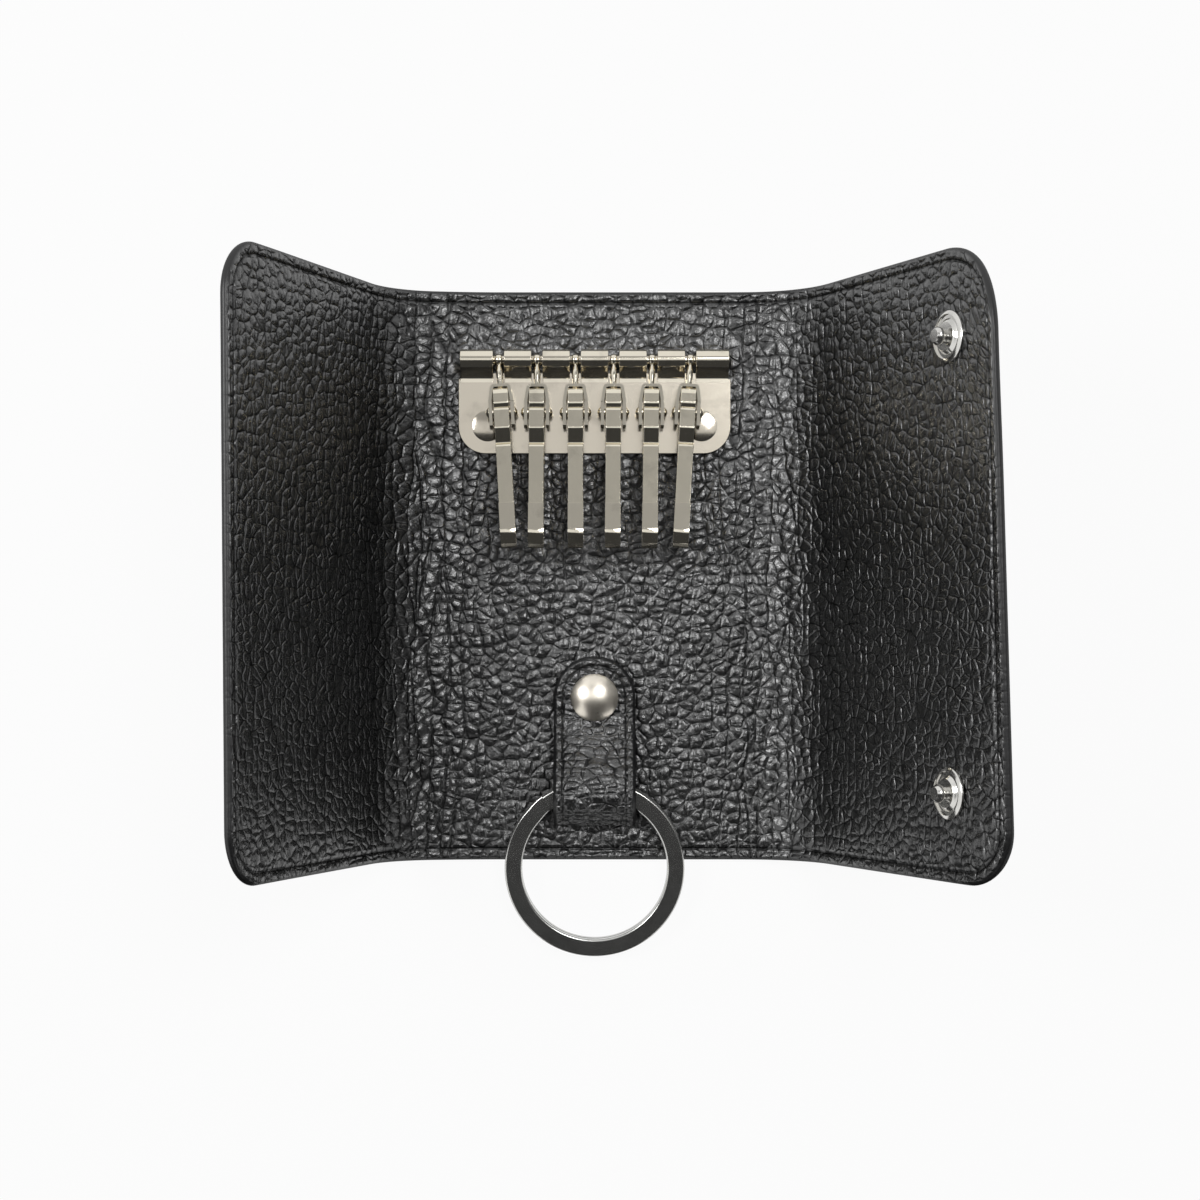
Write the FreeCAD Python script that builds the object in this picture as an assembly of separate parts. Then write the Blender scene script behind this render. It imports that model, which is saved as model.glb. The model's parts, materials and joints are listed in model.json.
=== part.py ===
"""Leather key case, lying open on its back with both wings standing up.

Millimetres. X runs to the right, Y to the case's top edge and Z up. The origin is on the underside of the
base panel, on the centre line of the hooks, halfway up the case's height.
Each leather panel has an outer shell and a lining. A narrow spine panel joins each wing to the base.
"""
import FreeCAD
import Part
import math
import os

# Leather panels
case_height = 105.0
shell_thickness = 0.9
lining_thickness = 0.8
base_left_margin = 3.15
base_right_margin = 1.45
left_spine_width = 13.0
left_wing_width = 54.3
right_wing_width = 53.3
left_wing_angle = 69.4
right_wing_angle = 64.8
wing_corner_radius = 9.5
right_wing_top_corner_radius = 16.0
fold_clearance = 0.1

# Hook plate, rolled over the hinge bar at its upper edge
hook_count = 6
hinge_from_top = 12.9
plate_width = 50.1
plate_drop = 17.1
plate_thickness = 0.95
plate_corner_radius = 5.0
plate_side_step = 0.4
plate_step_below_hinge = 3.4
bar_radius = 0.9
bar_clearance = 0.04
bar_end_inset = 0.3
knuckle_gap = 2.1
slot_reach = 2.3

# Rivets that hold the plate
plate_rivet_radius = 2.9
plate_rivet_height = 0.35
plate_rivet_shank = 1.1
plate_rivet_side_inset = 5.35
plate_rivet_below_hinge = 12.0
rivet_hole_clearance = 0.04
rivet_tail_radius = 1.9
rivet_tail_thickness = 0.3

# Swivel pins: an eye on the hinge bar and a stem that the hook turns on
eye_radius = 1.5
eye_width = 1.6
eye_clearance = 0.06
stem_radius = 0.65
stem_clearance = 0.05
pin_head_radius = 0.8
pin_head_thickness = 0.5

# Hooks, measured along the stem from the hinge bar
hook_gap = 1.25
hook_rest_tilt = 13.0
hook_lean_angles = (3.5, 0.0, 0.2, -0.4, -1.0, -3.4)
yoke_top = 4.9
yoke_thickness = 0.6
yoke_half_depth = 1.0
yoke_top_half_width = 1.85
yoke_half_width = 2.3
yoke_shoulder = 8.2
yoke_bottom = 12.9
yoke_top_bend = 0.6
yoke_shoulder_bend = 1.5
strip_half_width = 1.4
strip_thickness = 0.5
strip_neck_half_width = 0.95
strip_neck_length = 2.1
strip_slope_length = 2.6
strip_bend = 3.0
hook_half_depth = 2.0
hook_neck_depth = 1.45
hook_length = 35.7
hook_nose_bend = 0.95
hook_front_bend = 2.5
hook_nose_angle = 65.0
hook_tip_rise = 7.7

# Gates, their pins and their leaf springs
gate_pivot = 10.2
gate_pivot_depth = 0.1
gate_knuckle_radius = 1.35
gate_half_width = 1.4
gate_thickness = 0.5
gate_tip_gap = 0.1
gate_end_rise = 4.1
gate_dip = 0.4
gate_dip_at = 15.3
gate_kink = 17.4
gate_bend = 1.5
gate_pin_radius = 0.6
gate_pin_clearance = 0.05
gate_pin_fit = 0.02
gate_pin_head_radius = 1.0
gate_pin_head_height = 0.6
spring_half_width = 0.9
spring_thickness = 0.2
spring_foot = 20.0
spring_heel = 16.5
spring_tip = 12.7
spring_tip_depth = 0.2
spring_bend = 2.0

# Split ring
ring_outer_radius = 16.5
ring_band = 3.2
ring_height = 2.6
ring_edge_round = 0.4
ring_coil_gap = 0.06
ring_split_angle = 130.0
ring_ramp_angle = 15.0
ring_from_bottom = 12.4
ring_floor_gap = 0.2

# Strap that holds the ring
strap_width = 15.0
strap_thickness = 1.0
strap_end_from_bottom = 37.6
strap_rivet_from_end = 7.6
strap_loop_clearance = 0.1
strap_layer_gap = 0.05
strap_nose_bend = 1.5
strap_crown_bend = 3.6
strap_brow_bend = 5.0
strap_foot_bend = 6.0

# Places along the strap's loop, as shares of the loop's clear radius, from the ring's axis
strap_nose_share = -2.3
strap_crown_share = -0.68
strap_brow_share = 0.8
strap_foot_share = 3.6

# Dome rivet through the strap
dome_radius = 4.35
dome_height = 1.5
dome_rim = 0.3
dome_post_radius = 1.5
dome_tail_radius = 3.2

# Snap fasteners: studs on the right wing, sockets on the left wing
stud_from_wing_edge = 14.25
stud_from_case_end = 14.85
stud_flange_radius = 4.3
stud_flange_thickness = 0.35
stud_dish_height = 0.9
stud_dish_radius = 3.0
stud_rim_width = 0.6
stud_neck_radius = 1.1
stud_head_radius = 1.5
stud_height = 3.0
stud_post_radius = 0.8
socket_radius = 4.8
socket_height = 2.6
socket_mouth_radius = 1.75
socket_wall = 1.2
socket_floor = 0.35
socket_spring_wire = 0.3
socket_spring_radius = 2.35
socket_spring_opening = 60.0
socket_post_radius = 1.0
snap_gap = 0.1

# Derived sizes
leather_thickness = shell_thickness + lining_thickness
half_height = case_height / 2
base_left_reach = plate_width / 2 + base_left_margin
base_right_reach = plate_width / 2 + base_right_margin
right_spine_width = left_spine_width + leather_thickness + socket_height + stud_dish_height + snap_gap
hinge_y = half_height - hinge_from_top
knuckle_radius = bar_radius + bar_clearance + plate_thickness
hinge_z = leather_thickness + knuckle_radius
knuckle_span = plate_width - 2 * plate_side_step
hook_pitch = 2 * (yoke_half_width + gate_pin_head_height) + hook_gap
hook_tip = hook_length - hook_tip_rise
gate_end = hook_length - gate_end_rise
plate_rivet_x = plate_width / 2 - plate_rivet_side_inset
plate_rivet_y = hinge_y - plate_rivet_below_hinge
strap_end_y = -half_height + strap_end_from_bottom
dome_y = strap_end_y - strap_rivet_from_end
ring_band_radius = ring_outer_radius - ring_band / 2
ring_inner_radius = ring_outer_radius - ring_band
ring_sag = ring_inner_radius - math.sqrt(ring_inner_radius ** 2 - (strap_width / 2) ** 2)
wire_corner = math.hypot((ring_band + ring_sag) / 2 - ring_edge_round, ring_height / 2 - ring_edge_round)
loop_radius = wire_corner + ring_edge_round + strap_loop_clearance
ring_axis_y = -half_height + ring_from_bottom
ring_axis_z = leather_thickness + strap_thickness + loop_radius
ring_reach = ring_band_radius - ring_sag / 2
ring_far_reach = ring_reach + ring_band_radius
ring_drop = ring_axis_z - ring_height / 2 - ring_floor_gap
ring_tilt = math.degrees(math.asin(ring_drop / (ring_far_reach + ring_band)))
left_wing_corners = (wing_corner_radius, wing_corner_radius)
right_wing_corners = (wing_corner_radius, right_wing_top_corner_radius)
stud_y = half_height - stud_from_case_end
stud_along_wing = right_wing_width - stud_from_wing_edge
socket_along_wing = base_left_reach + base_right_reach - stud_along_wing

# Directions
ORIGIN = FreeCAD.Vector(0, 0, 0)
ALONG_X = FreeCAD.Vector(1, 0, 0)
ALONG_Y = FreeCAD.Vector(0, 1, 0)
ALONG_Z = FreeCAD.Vector(0, 0, 1)
FULL_TURN = 360.0
SQUARE_CORNERS = (0, 0)


def save(name, solids):
    """Write one node: a single solid, or a group of separate solids."""
    shape = solids[0] if len(solids) == 1 else Part.makeCompound(solids)
    shape.exportStep("parts/" + name + ".step")


def box(x, y, z):
    """A box between the two limits given for each axis."""
    corner = FreeCAD.Vector(x[0], y[0], z[0])
    return Part.makeBox(x[1] - x[0], y[1] - y[0], z[1] - z[0], corner)


def rounded_corner(corner, before, after, radius):
    """The start, middle and end of the arc that rounds a corner of an outline."""
    back = (before - corner).normalize()
    ahead = (after - corner).normalize()
    half_angle = back.getAngle(ahead) / 2
    reach = radius / math.tan(half_angle)
    centre = corner + (back + ahead).normalize() * (radius / math.sin(half_angle))
    middle = centre + (corner - centre).normalize() * radius
    return corner + back * reach, middle, corner + ahead * reach


def outline(points, radii):
    """A closed wire through the points, each corner rounded by its radius, or sharp where that is zero."""
    stops = []
    for n, corner in enumerate(points):
        if radii[n] > 0:
            stops.append(rounded_corner(corner, points[n - 1], points[(n + 1) % len(points)], radii[n]))
        else:
            stops.append((corner,))
    edges = []
    for n, stop in enumerate(stops):
        if len(stop) > 1:
            edges.append(Part.Arc(*stop).toShape())
        start = stop[-1]
        end = stops[(n + 1) % len(stops)][0]
        if (end - start).Length > 0:
            edges.append(Part.LineSegment(start, end).toShape())
    return Part.Wire(Part.__sortEdges__(edges))


def prism(points, radii, way):
    """A rounded outline pushed along a vector."""
    return Part.Face(outline(points, radii)).extrude(way)


def ribbon(points, bends, thickness, normal):
    """The face of a bent strip seen edge on.

    The points are the corners of its centre line, and each inner corner has a bend radius. The normal is
    the direction across the strip.
    """
    half = thickness / 2
    sides = []
    for side in (half, -half):
        places = []
        for n in range(len(points)):
            ways = []
            if n > 0:
                ways.append((points[n] - points[n - 1]).normalize())
            if n < len(points) - 1:
                ways.append((points[n + 1] - points[n]).normalize())
            across = [normal.cross(way) for way in ways]
            mitre = (across[0] + across[-1]).normalize()
            places.append(points[n] + mitre * (side / mitre.dot(across[0])))
        sides.append(places)
    turns = []
    for n in range(1, len(points) - 1):
        before = points[n] - points[n - 1]
        after = points[n + 1] - points[n]
        turns.append(1 if before.cross(after).dot(normal) > 0 else -1)
    left_radii = [0] + [bend - turn * half for bend, turn in zip(bends, turns)] + [0]
    right_radii = [0] + [bend + turn * half for bend, turn in zip(bends, turns)] + [0]
    corners = sides[0] + sides[1][::-1]
    return Part.Face(outline(corners, left_radii + right_radii[::-1]))


def turned(profile):
    """A solid turned about Z from an outline of radius and height pairs."""
    points = [FreeCAD.Vector(radius, 0, height) for radius, height in profile]
    return prism_face(points).revolve(ORIGIN, ALONG_Z, FULL_TURN)


def prism_face(points):
    """A face with sharp corners."""
    return Part.Face(Part.makePolygon(points + points[:1]))


def panel(width, thickness, top, corner_radii, start):
    """A flat panel across the case's height, with its top face at a height.

    The two radii round its outer corners, first the one at the case's bottom edge.
    """
    low = top - thickness
    corners = [
        FreeCAD.Vector(start, -half_height, low),
        FreeCAD.Vector(width, -half_height, low),
        FreeCAD.Vector(width, half_height, low),
        FreeCAD.Vector(start, half_height, low),
    ]
    return prism(corners, [0, *corner_radii, 0], ALONG_Z * thickness)


def fold_places(base_reach, spine_width, wing_angle):
    """The places of a spine and of a wing on the right, at rest: each turns about its inner edge."""
    half_angle = wing_angle / 2
    first = FreeCAD.Vector(base_reach, 0, leather_thickness)
    climb = math.radians(half_angle)
    second = first + FreeCAD.Vector(math.cos(climb), 0, math.sin(climb)) * spine_width
    spine = FreeCAD.Placement(first, FreeCAD.Rotation(ALONG_Y, -half_angle))
    wing = FreeCAD.Placement(second, FreeCAD.Rotation(ALONG_Y, -wing_angle))
    return spine, wing


left_spine_place, left_wing_place = fold_places(base_left_reach, left_spine_width, left_wing_angle)
right_spine_place, right_wing_place = fold_places(base_right_reach, right_spine_width, right_wing_angle)


def placed(shape, placement, mirrored=False):
    """A copy of a shape at a placement, and over to the left side if it is mirrored."""
    moved = shape.copy()
    moved.Placement = placement.multiply(moved.Placement)
    return moved.mirror(ORIGIN, ALONG_X) if mirrored else moved


def layers(width, corner_radii, start):
    """The lining and the shell of a panel whose inner face is at zero height."""
    lining = panel(width, lining_thickness, 0, corner_radii, start)
    shell = panel(width, shell_thickness, -lining_thickness, corner_radii, start)
    return lining, shell


def build_base():
    """The base panel: its lining takes the rivets' shanks, and their tails lie in pockets under it."""
    left = -base_left_reach + fold_clearance
    right = base_right_reach - fold_clearance
    lining = panel(right, lining_thickness, leather_thickness, SQUARE_CORNERS, left)
    shell = panel(right, shell_thickness, shell_thickness, SQUARE_CORNERS, left)
    shanks = [(0, dome_y, dome_post_radius, dome_tail_radius)]
    for x in (-plate_rivet_x, plate_rivet_x):
        shanks.append((x, plate_rivet_y, plate_rivet_shank, rivet_tail_radius))
    pocket_depth = rivet_tail_thickness + rivet_hole_clearance
    for x, y, shank, tail in shanks:
        foot = FreeCAD.Vector(x, y, shell_thickness)
        hole = Part.makeCylinder(shank + rivet_hole_clearance, lining_thickness, foot)
        pocket = Part.makeCylinder(tail + rivet_hole_clearance, pocket_depth, foot)
        lining = lining.cut(hole).cut(pocket)
    save("base_lining", [lining])
    save("base_shell", [shell])


def wing_fastener_holes(layer, along, radius, tail_radius, pocket_level):
    """A wing layer with the two holes of its snap fasteners and the pockets for their tails."""
    for y in (-stud_y, stud_y):
        through = FreeCAD.Vector(along, y, -leather_thickness)
        layer = layer.cut(Part.makeCylinder(radius + rivet_hole_clearance, leather_thickness, through))
        depth = rivet_tail_thickness + rivet_hole_clearance
        foot = FreeCAD.Vector(along, y, pocket_level)
        layer = layer.cut(Part.makeCylinder(tail_radius + rivet_hole_clearance, depth, foot))
    return layer


def build_wings():
    """Both wings and the spines that carry them."""
    for name, width, place, mirrored in (
        ("left_spine", left_spine_width, left_spine_place, True),
        ("right_spine", right_spine_width, right_spine_place, False),
    ):
        lining, shell = layers(width - fold_clearance, SQUARE_CORNERS, fold_clearance)
        save(name + "_lining", [placed(lining, place, mirrored)])
        save(name + "_shell", [placed(shell, place, mirrored)])
    lining, shell = layers(right_wing_width, right_wing_corners, fold_clearance)
    stud_tails = -lining_thickness
    lining = wing_fastener_holes(lining, stud_along_wing, stud_post_radius, rivet_tail_radius, stud_tails)
    save("right_wing_lining", [placed(lining, right_wing_place)])
    save("right_wing_shell", [placed(shell, right_wing_place)])
    lining, shell = layers(left_wing_width, left_wing_corners, fold_clearance)
    socket_tails = -lining_thickness - rivet_tail_thickness - rivet_hole_clearance
    post = socket_post_radius
    shell = wing_fastener_holes(shell, socket_along_wing, post, rivet_tail_radius, socket_tails)
    save("left_wing_lining", [placed(lining, left_wing_place, True)])
    save("left_wing_shell", [placed(shell, left_wing_place, True)])


def build_plate():
    """The hook plate with its rolled knuckles, the hinge bar through them and the two rivets."""
    half = plate_width / 2
    neck = knuckle_span / 2
    low = hinge_y - plate_drop
    step = hinge_y - plate_step_below_hinge
    right_side = [(half, low), (half, step), (neck, step), (neck, hinge_y)]
    left_side = [(-x, y) for x, y in reversed(right_side)]
    corners = [FreeCAD.Vector(x, y, leather_thickness) for x, y in right_side + left_side]
    radii = [0] * len(corners)
    radii[0] = radii[-1] = plate_corner_radius
    plate = prism(corners, radii, ALONG_Z * plate_thickness)
    roll_start = FreeCAD.Vector(-knuckle_span / 2, hinge_y, hinge_z)
    plate = plate.fuse(Part.makeCylinder(knuckle_radius, knuckle_span, roll_start, ALONG_X))
    plate = plate.cut(Part.makeCylinder(bar_radius + bar_clearance, knuckle_span, roll_start, ALONG_X))
    for x in hook_places():
        sides = (x - knuckle_gap / 2, x + knuckle_gap / 2)
        along = (hinge_y - slot_reach, hinge_y + 2 * knuckle_radius)
        plate = plate.cut(box(sides, along, (0, hinge_z + 2 * knuckle_radius)))
    rivets = []
    for x in (-plate_rivet_x, plate_rivet_x):
        foot = FreeCAD.Vector(x, plate_rivet_y, 0)
        plate = plate.cut(Part.makeCylinder(plate_rivet_shank + rivet_hole_clearance, hinge_z, foot))
        rivets.append(plate_rivet(foot))
    save("hook_plate", [plate.removeSplitter()])
    bar_length = knuckle_span - 2 * bar_end_inset
    bar_start = FreeCAD.Vector(-bar_length / 2, hinge_y, hinge_z)
    save("hinge_bar", [Part.makeCylinder(bar_radius, bar_length, bar_start, ALONG_X)])
    save("plate_rivets", rivets)


def plate_rivet(foot):
    """A low domed rivet with its shank through plate and lining and a flat tail."""
    seat = leather_thickness + plate_thickness
    tail = shell_thickness
    profile = [
        (0, tail),
        (rivet_tail_radius, tail),
        (rivet_tail_radius, tail + rivet_tail_thickness),
        (plate_rivet_shank, tail + rivet_tail_thickness),
        (plate_rivet_shank, seat),
        (plate_rivet_radius, seat),
    ]
    return domed(profile, plate_rivet_radius, seat, plate_rivet_height).translate(foot)


def domed(profile, radius, base, height):
    """A turned solid whose outline ends in a round dome from the radius up to the axis."""
    points = [FreeCAD.Vector(r, 0, z) for r, z in profile]
    top = FreeCAD.Vector(0, 0, base + height)
    sphere = (radius ** 2 + height ** 2) / (2 * height)
    half_angle = math.asin(radius / sphere) / 2
    rise = sphere * math.cos(half_angle) - (sphere - height)
    middle = FreeCAD.Vector(sphere * math.sin(half_angle), 0, base + rise)
    edges = [Part.LineSegment(a, b).toShape() for a, b in zip(points, points[1:])]
    edges.append(Part.Arc(points[-1], middle, top).toShape())
    edges.append(Part.LineSegment(top, points[0]).toShape())
    return Part.Face(Part.Wire(edges)).revolve(ORIGIN, ALONG_Z, FULL_TURN)


def hook_places():
    """The hooks' places along the hinge bar."""
    return [hook_pitch * (n - (hook_count - 1) / 2) for n in range(hook_count)]


def hook_place(n):
    """Where a hook's own frame lies at rest: it leans to the side, then tips up off the plate."""
    lean = FreeCAD.Rotation(ALONG_Z, hook_lean_angles[n])
    tip = FreeCAD.Rotation(ALONG_X, -hook_rest_tilt)
    return FreeCAD.Placement(FreeCAD.Vector(hook_places()[n], hinge_y, hinge_z), tip.multiply(lean))


def side(along, depth, across=0):
    """A point of a hook: its distance along the stem, its height above the stem and its place across."""
    return FreeCAD.Vector(across, -along, depth)


def across_strip(face, half_width):
    """A strip's edge-on face made as wide as the strip, about its middle."""
    face = face.copy()
    face.translate(ALONG_X * -half_width)
    return face.extrude(ALONG_X * (2 * half_width))


def hook_body():
    """The yoke that swivels on the stem, with the long strip that turns up in front as a hook."""
    half = yoke_thickness / 2
    bridge = yoke_top + half
    top_width = yoke_top_half_width - half
    width = yoke_half_width - half
    path = [
        side(yoke_bottom, -yoke_half_depth, -width),
        side(yoke_shoulder, -yoke_half_depth, -width),
        side(bridge, -yoke_half_depth, -top_width),
        side(bridge, -yoke_half_depth, top_width),
        side(yoke_shoulder, -yoke_half_depth, width),
        side(yoke_bottom, -yoke_half_depth, width),
    ]
    bends = [yoke_shoulder_bend, yoke_top_bend, yoke_top_bend, yoke_shoulder_bend]
    yoke = ribbon(path, bends, yoke_thickness, ALONG_Z).extrude(ALONG_Z * (2 * yoke_half_depth))
    body = yoke.fuse(hook_strip())
    hole_end = yoke_top + 2 * yoke_thickness
    hole = Part.makeCylinder(stem_radius + stem_clearance, hole_end, side(0, 0), -ALONG_Y)
    pin_start = side(gate_pivot, gate_pivot_depth, -hook_length)
    pin_hole = Part.makeCylinder(gate_pin_radius + gate_pin_fit, 2 * hook_length, pin_start, ALONG_X)
    return body.cut(hole).cut(pin_hole)


def hook_strip():
    """The strip from the yoke's top down the back and round to the tip, narrower at its neck."""
    half = strip_thickness / 2
    back = -hook_half_depth + half
    neck = -hook_neck_depth + half
    front = hook_half_depth - half
    slope_start = yoke_top + strip_neck_length
    slope_end = slope_start + strip_slope_length
    turn = math.radians(hook_nose_angle)
    nose = hook_length - half - hook_nose_bend + hook_nose_bend / math.tan(turn / 2)
    brow = nose - (front - back) / math.tan(turn)
    path = [
        side(yoke_top, neck),
        side(slope_start, neck),
        side(slope_end, back),
        side(nose, back),
        side(brow, front),
        side(hook_tip, front),
    ]
    bends = [strip_bend, strip_bend, hook_nose_bend, hook_front_bend]
    strip = across_strip(ribbon(path, bends, strip_thickness, ALONG_X), strip_half_width)
    plan = [
        side(yoke_top, -hook_half_depth, -strip_neck_half_width),
        side(slope_end, -hook_half_depth, -strip_half_width),
        side(2 * hook_length, -hook_half_depth, -strip_half_width),
        side(2 * hook_length, -hook_half_depth, strip_half_width),
        side(slope_end, -hook_half_depth, strip_half_width),
        side(yoke_top, -hook_half_depth, strip_neck_half_width),
    ]
    return strip.common(prism_face(plan).extrude(ALONG_Z * (2 * hook_half_depth)))


def gate():
    """The gate: a knuckle on its pin and a strip that closes behind the hook's tip."""
    middle = hook_half_depth - strip_thickness - gate_tip_gap - gate_thickness / 2
    root = gate_pivot_depth + gate_knuckle_radius - gate_thickness / 2
    path = [
        side(gate_pivot, root),
        side(gate_dip_at, middle - gate_dip),
        side(gate_kink, middle),
        side(gate_end, middle),
    ]
    strip = across_strip(ribbon(path, [gate_bend, gate_bend], gate_thickness, ALONG_X), gate_half_width)
    start = side(gate_pivot, gate_pivot_depth, -gate_half_width)
    knuckle = Part.makeCylinder(gate_knuckle_radius, 2 * gate_half_width, start, ALONG_X)
    bore = Part.makeCylinder(gate_pin_radius + gate_pin_clearance, 2 * gate_half_width, start, ALONG_X)
    return knuckle.fuse(strip).cut(bore).removeSplitter()


def gate_pin():
    """The gate's pin, with a domed head outside each cheek of the yoke."""
    middle = FreeCAD.Placement(side(gate_pivot, gate_pivot_depth), FreeCAD.Rotation(ALONG_Y, FULL_TURN / 4))
    seat = yoke_half_width
    half_profile = [(0, 0), (gate_pin_radius, 0), (gate_pin_radius, seat), (gate_pin_head_radius, seat)]
    end = domed(half_profile, gate_pin_head_radius, seat, gate_pin_head_height)
    other = end.mirror(ORIGIN, ALONG_Z)
    return placed(end.fuse(other).removeSplitter(), middle)


def gate_spring():
    """The leaf spring under the gate: it lies on the hook's back, its tip up near the gate's root."""
    rest = -hook_half_depth + strip_thickness + spring_thickness / 2
    path = [side(spring_foot, rest), side(spring_heel, rest), side(spring_tip, spring_tip_depth)]
    return across_strip(ribbon(path, [spring_bend], spring_thickness, ALONG_X), spring_half_width)


def swivel_pin(n):
    """One swivel pin: the eye stays square on the hinge bar, and the stem leans with its hook."""
    eye = Part.makeCylinder(eye_radius, eye_width, side(0, 0, -eye_width / 2), ALONG_X)
    head_start = yoke_top + yoke_thickness + stem_clearance
    stem = Part.makeCylinder(stem_radius, head_start + pin_head_thickness, side(0, 0), -ALONG_Y)
    head = Part.makeCylinder(pin_head_radius, pin_head_thickness, side(head_start, 0), -ALONG_Y)
    lean = FreeCAD.Placement(ORIGIN, FreeCAD.Rotation(ALONG_Z, hook_lean_angles[n]))
    pin = eye.fuse(placed(stem.fuse(head), lean))
    bore = Part.makeCylinder(bar_radius + eye_clearance, 2 * eye_width, side(0, 0, -eye_width), ALONG_X)
    square = FreeCAD.Placement(hook_place(n).Base, FreeCAD.Rotation(ALONG_X, -hook_rest_tilt))
    return placed(pin.cut(bore).removeSplitter(), square)


def build_hooks():
    """Six hooks, each with its swivel pin, gate, gate pin and leaf spring."""
    pieces = {
        "hook_body": hook_body(),
        "hook_gate": gate(),
        "gate_pin": gate_pin(),
        "gate_spring": gate_spring(),
    }
    for n in range(hook_count):
        number = "_" + str(n + 1)
        save("swivel_pin" + number, [swivel_pin(n)])
        for name, shape in pieces.items():
            save(name + number, [placed(shape, hook_place(n))])


def build_strap():
    """The strap: one strip folded round the ring, both ends under the dome rivet."""
    half = strap_thickness / 2
    low = leather_thickness + half
    crown = leather_thickness + strap_thickness + 2 * loop_radius + half
    upper = low + strap_thickness + strap_layer_gap
    path = [
        FreeCAD.Vector(0, strap_end_y, low),
        FreeCAD.Vector(0, ring_axis_y + strap_nose_share * loop_radius, low),
        FreeCAD.Vector(0, ring_axis_y + strap_crown_share * loop_radius, crown),
        FreeCAD.Vector(0, ring_axis_y + strap_brow_share * loop_radius, crown),
        FreeCAD.Vector(0, ring_axis_y + strap_foot_share * loop_radius, upper),
        FreeCAD.Vector(0, strap_end_y, upper),
    ]
    bends = [strap_nose_bend, strap_crown_bend, strap_brow_bend, strap_foot_bend]
    strap = across_strip(ribbon(path, bends, strap_thickness, ALONG_X), strap_width / 2)
    round_end = strap_width / 2
    plan = [
        FreeCAD.Vector(-round_end, -2 * half_height, 0),
        FreeCAD.Vector(round_end, -2 * half_height, 0),
        FreeCAD.Vector(round_end, strap_end_y, 0),
        FreeCAD.Vector(-round_end, strap_end_y, 0),
    ]
    end_radius = round_end - fold_clearance
    strap = strap.common(prism(plan, [0, 0, end_radius, end_radius], ALONG_Z * (2 * crown)))
    foot = FreeCAD.Vector(0, dome_y, 0)
    strap = strap.cut(Part.makeCylinder(dome_post_radius + rivet_hole_clearance, 2 * crown, foot))
    save("ring_strap", [strap])
    seat = leather_thickness + 2 * strap_thickness + strap_layer_gap
    brim = seat + dome_rim
    cap = domed([(0, seat), (dome_radius, seat), (dome_radius, brim)], dome_radius, brim, dome_height)
    save("strap_rivet_cap", [cap.translate(foot)])
    tail = shell_thickness
    post = turned([
        (0, tail),
        (dome_tail_radius, tail),
        (dome_tail_radius, tail + rivet_tail_thickness),
        (dome_post_radius, tail + rivet_tail_thickness),
        (dome_post_radius, seat),
        (0, seat),
    ])
    save("strap_rivet_post", [post.translate(foot)])


def coil_section(angle, low, high):
    """The wire's rounded section at an angle round the ring, between two heights."""
    inner = ring_inner_radius
    corners = [(inner, low), (ring_outer_radius, low), (ring_outer_radius, high), (inner, high)]
    points = [FreeCAD.Vector(radius, 0, height) for radius, height in corners]
    section = outline(points, [ring_edge_round] * len(points))
    section.rotate(ORIGIN, ALONG_Z, angle)
    return section


def build_ring():
    """The split ring: two flat coils of one wire, with a ramp where the wire steps from one to the other."""
    half = ring_height / 2
    gap = ring_coil_gap / 2
    lower = (-half, -gap)
    upper = (gap, half)
    ramp_end = ring_split_angle + ring_ramp_angle
    coils = []
    for low, high in (lower, upper):
        section = Part.Face(coil_section(ramp_end, low, high))
        coils.append(section.revolve(ORIGIN, ALONG_Z, FULL_TURN - ring_ramp_angle))
    ramp_sections = [coil_section(ring_split_angle, *lower), coil_section(ramp_end, *upper)]
    ramp = Part.makeLoft(ramp_sections, True, True)
    ring = coils[0].fuse([coils[1], ramp])
    tilt = FreeCAD.Rotation(ALONG_X, ring_tilt)
    hang = FreeCAD.Placement(FreeCAD.Vector(0, ring_axis_y, ring_axis_z), tilt)
    reach = FreeCAD.Placement(FreeCAD.Vector(0, -ring_reach, 0), FreeCAD.Rotation())
    save("split_ring", [placed(ring, hang.multiply(reach))])


def build_studs():
    """Two snap studs on the right wing's lining, each on a post whose tail lies under the lining."""
    studs = []
    posts = []
    rim = stud_flange_radius - stud_rim_width
    stud = turned([
        (stud_post_radius + rivet_hole_clearance, 0),
        (stud_flange_radius, 0),
        (stud_flange_radius, stud_flange_thickness),
        (rim, 2 * stud_flange_thickness),
        (rim, stud_flange_thickness),
        (stud_dish_radius, stud_flange_thickness),
        (stud_dish_radius - stud_rim_width, stud_dish_height),
        (stud_neck_radius, stud_dish_height),
        (stud_neck_radius, stud_height - stud_head_radius),
        (stud_head_radius, stud_height - stud_neck_radius),
        (stud_head_radius, stud_height - stud_rim_width),
        (stud_neck_radius, stud_height),
        (0, stud_height),
        (0, stud_height - stud_rim_width),
        (stud_post_radius + rivet_hole_clearance, stud_height - stud_rim_width),
    ])
    tail = -lining_thickness
    post = turned([
        (0, tail),
        (rivet_tail_radius, tail),
        (rivet_tail_radius, tail + rivet_tail_thickness),
        (stud_post_radius, tail + rivet_tail_thickness),
        (stud_post_radius, stud_height - stud_rim_width - rivet_hole_clearance),
        (0, stud_height - stud_rim_width - rivet_hole_clearance),
    ])
    for y in (-stud_y, stud_y):
        foot = FreeCAD.Placement(FreeCAD.Vector(stud_along_wing, y, 0), FreeCAD.Rotation())
        seat = right_wing_place.multiply(foot)
        studs.append(placed(stud, seat))
        posts.append(placed(post, seat))
    save("snap_studs", studs)
    save("stud_posts", posts)


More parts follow.
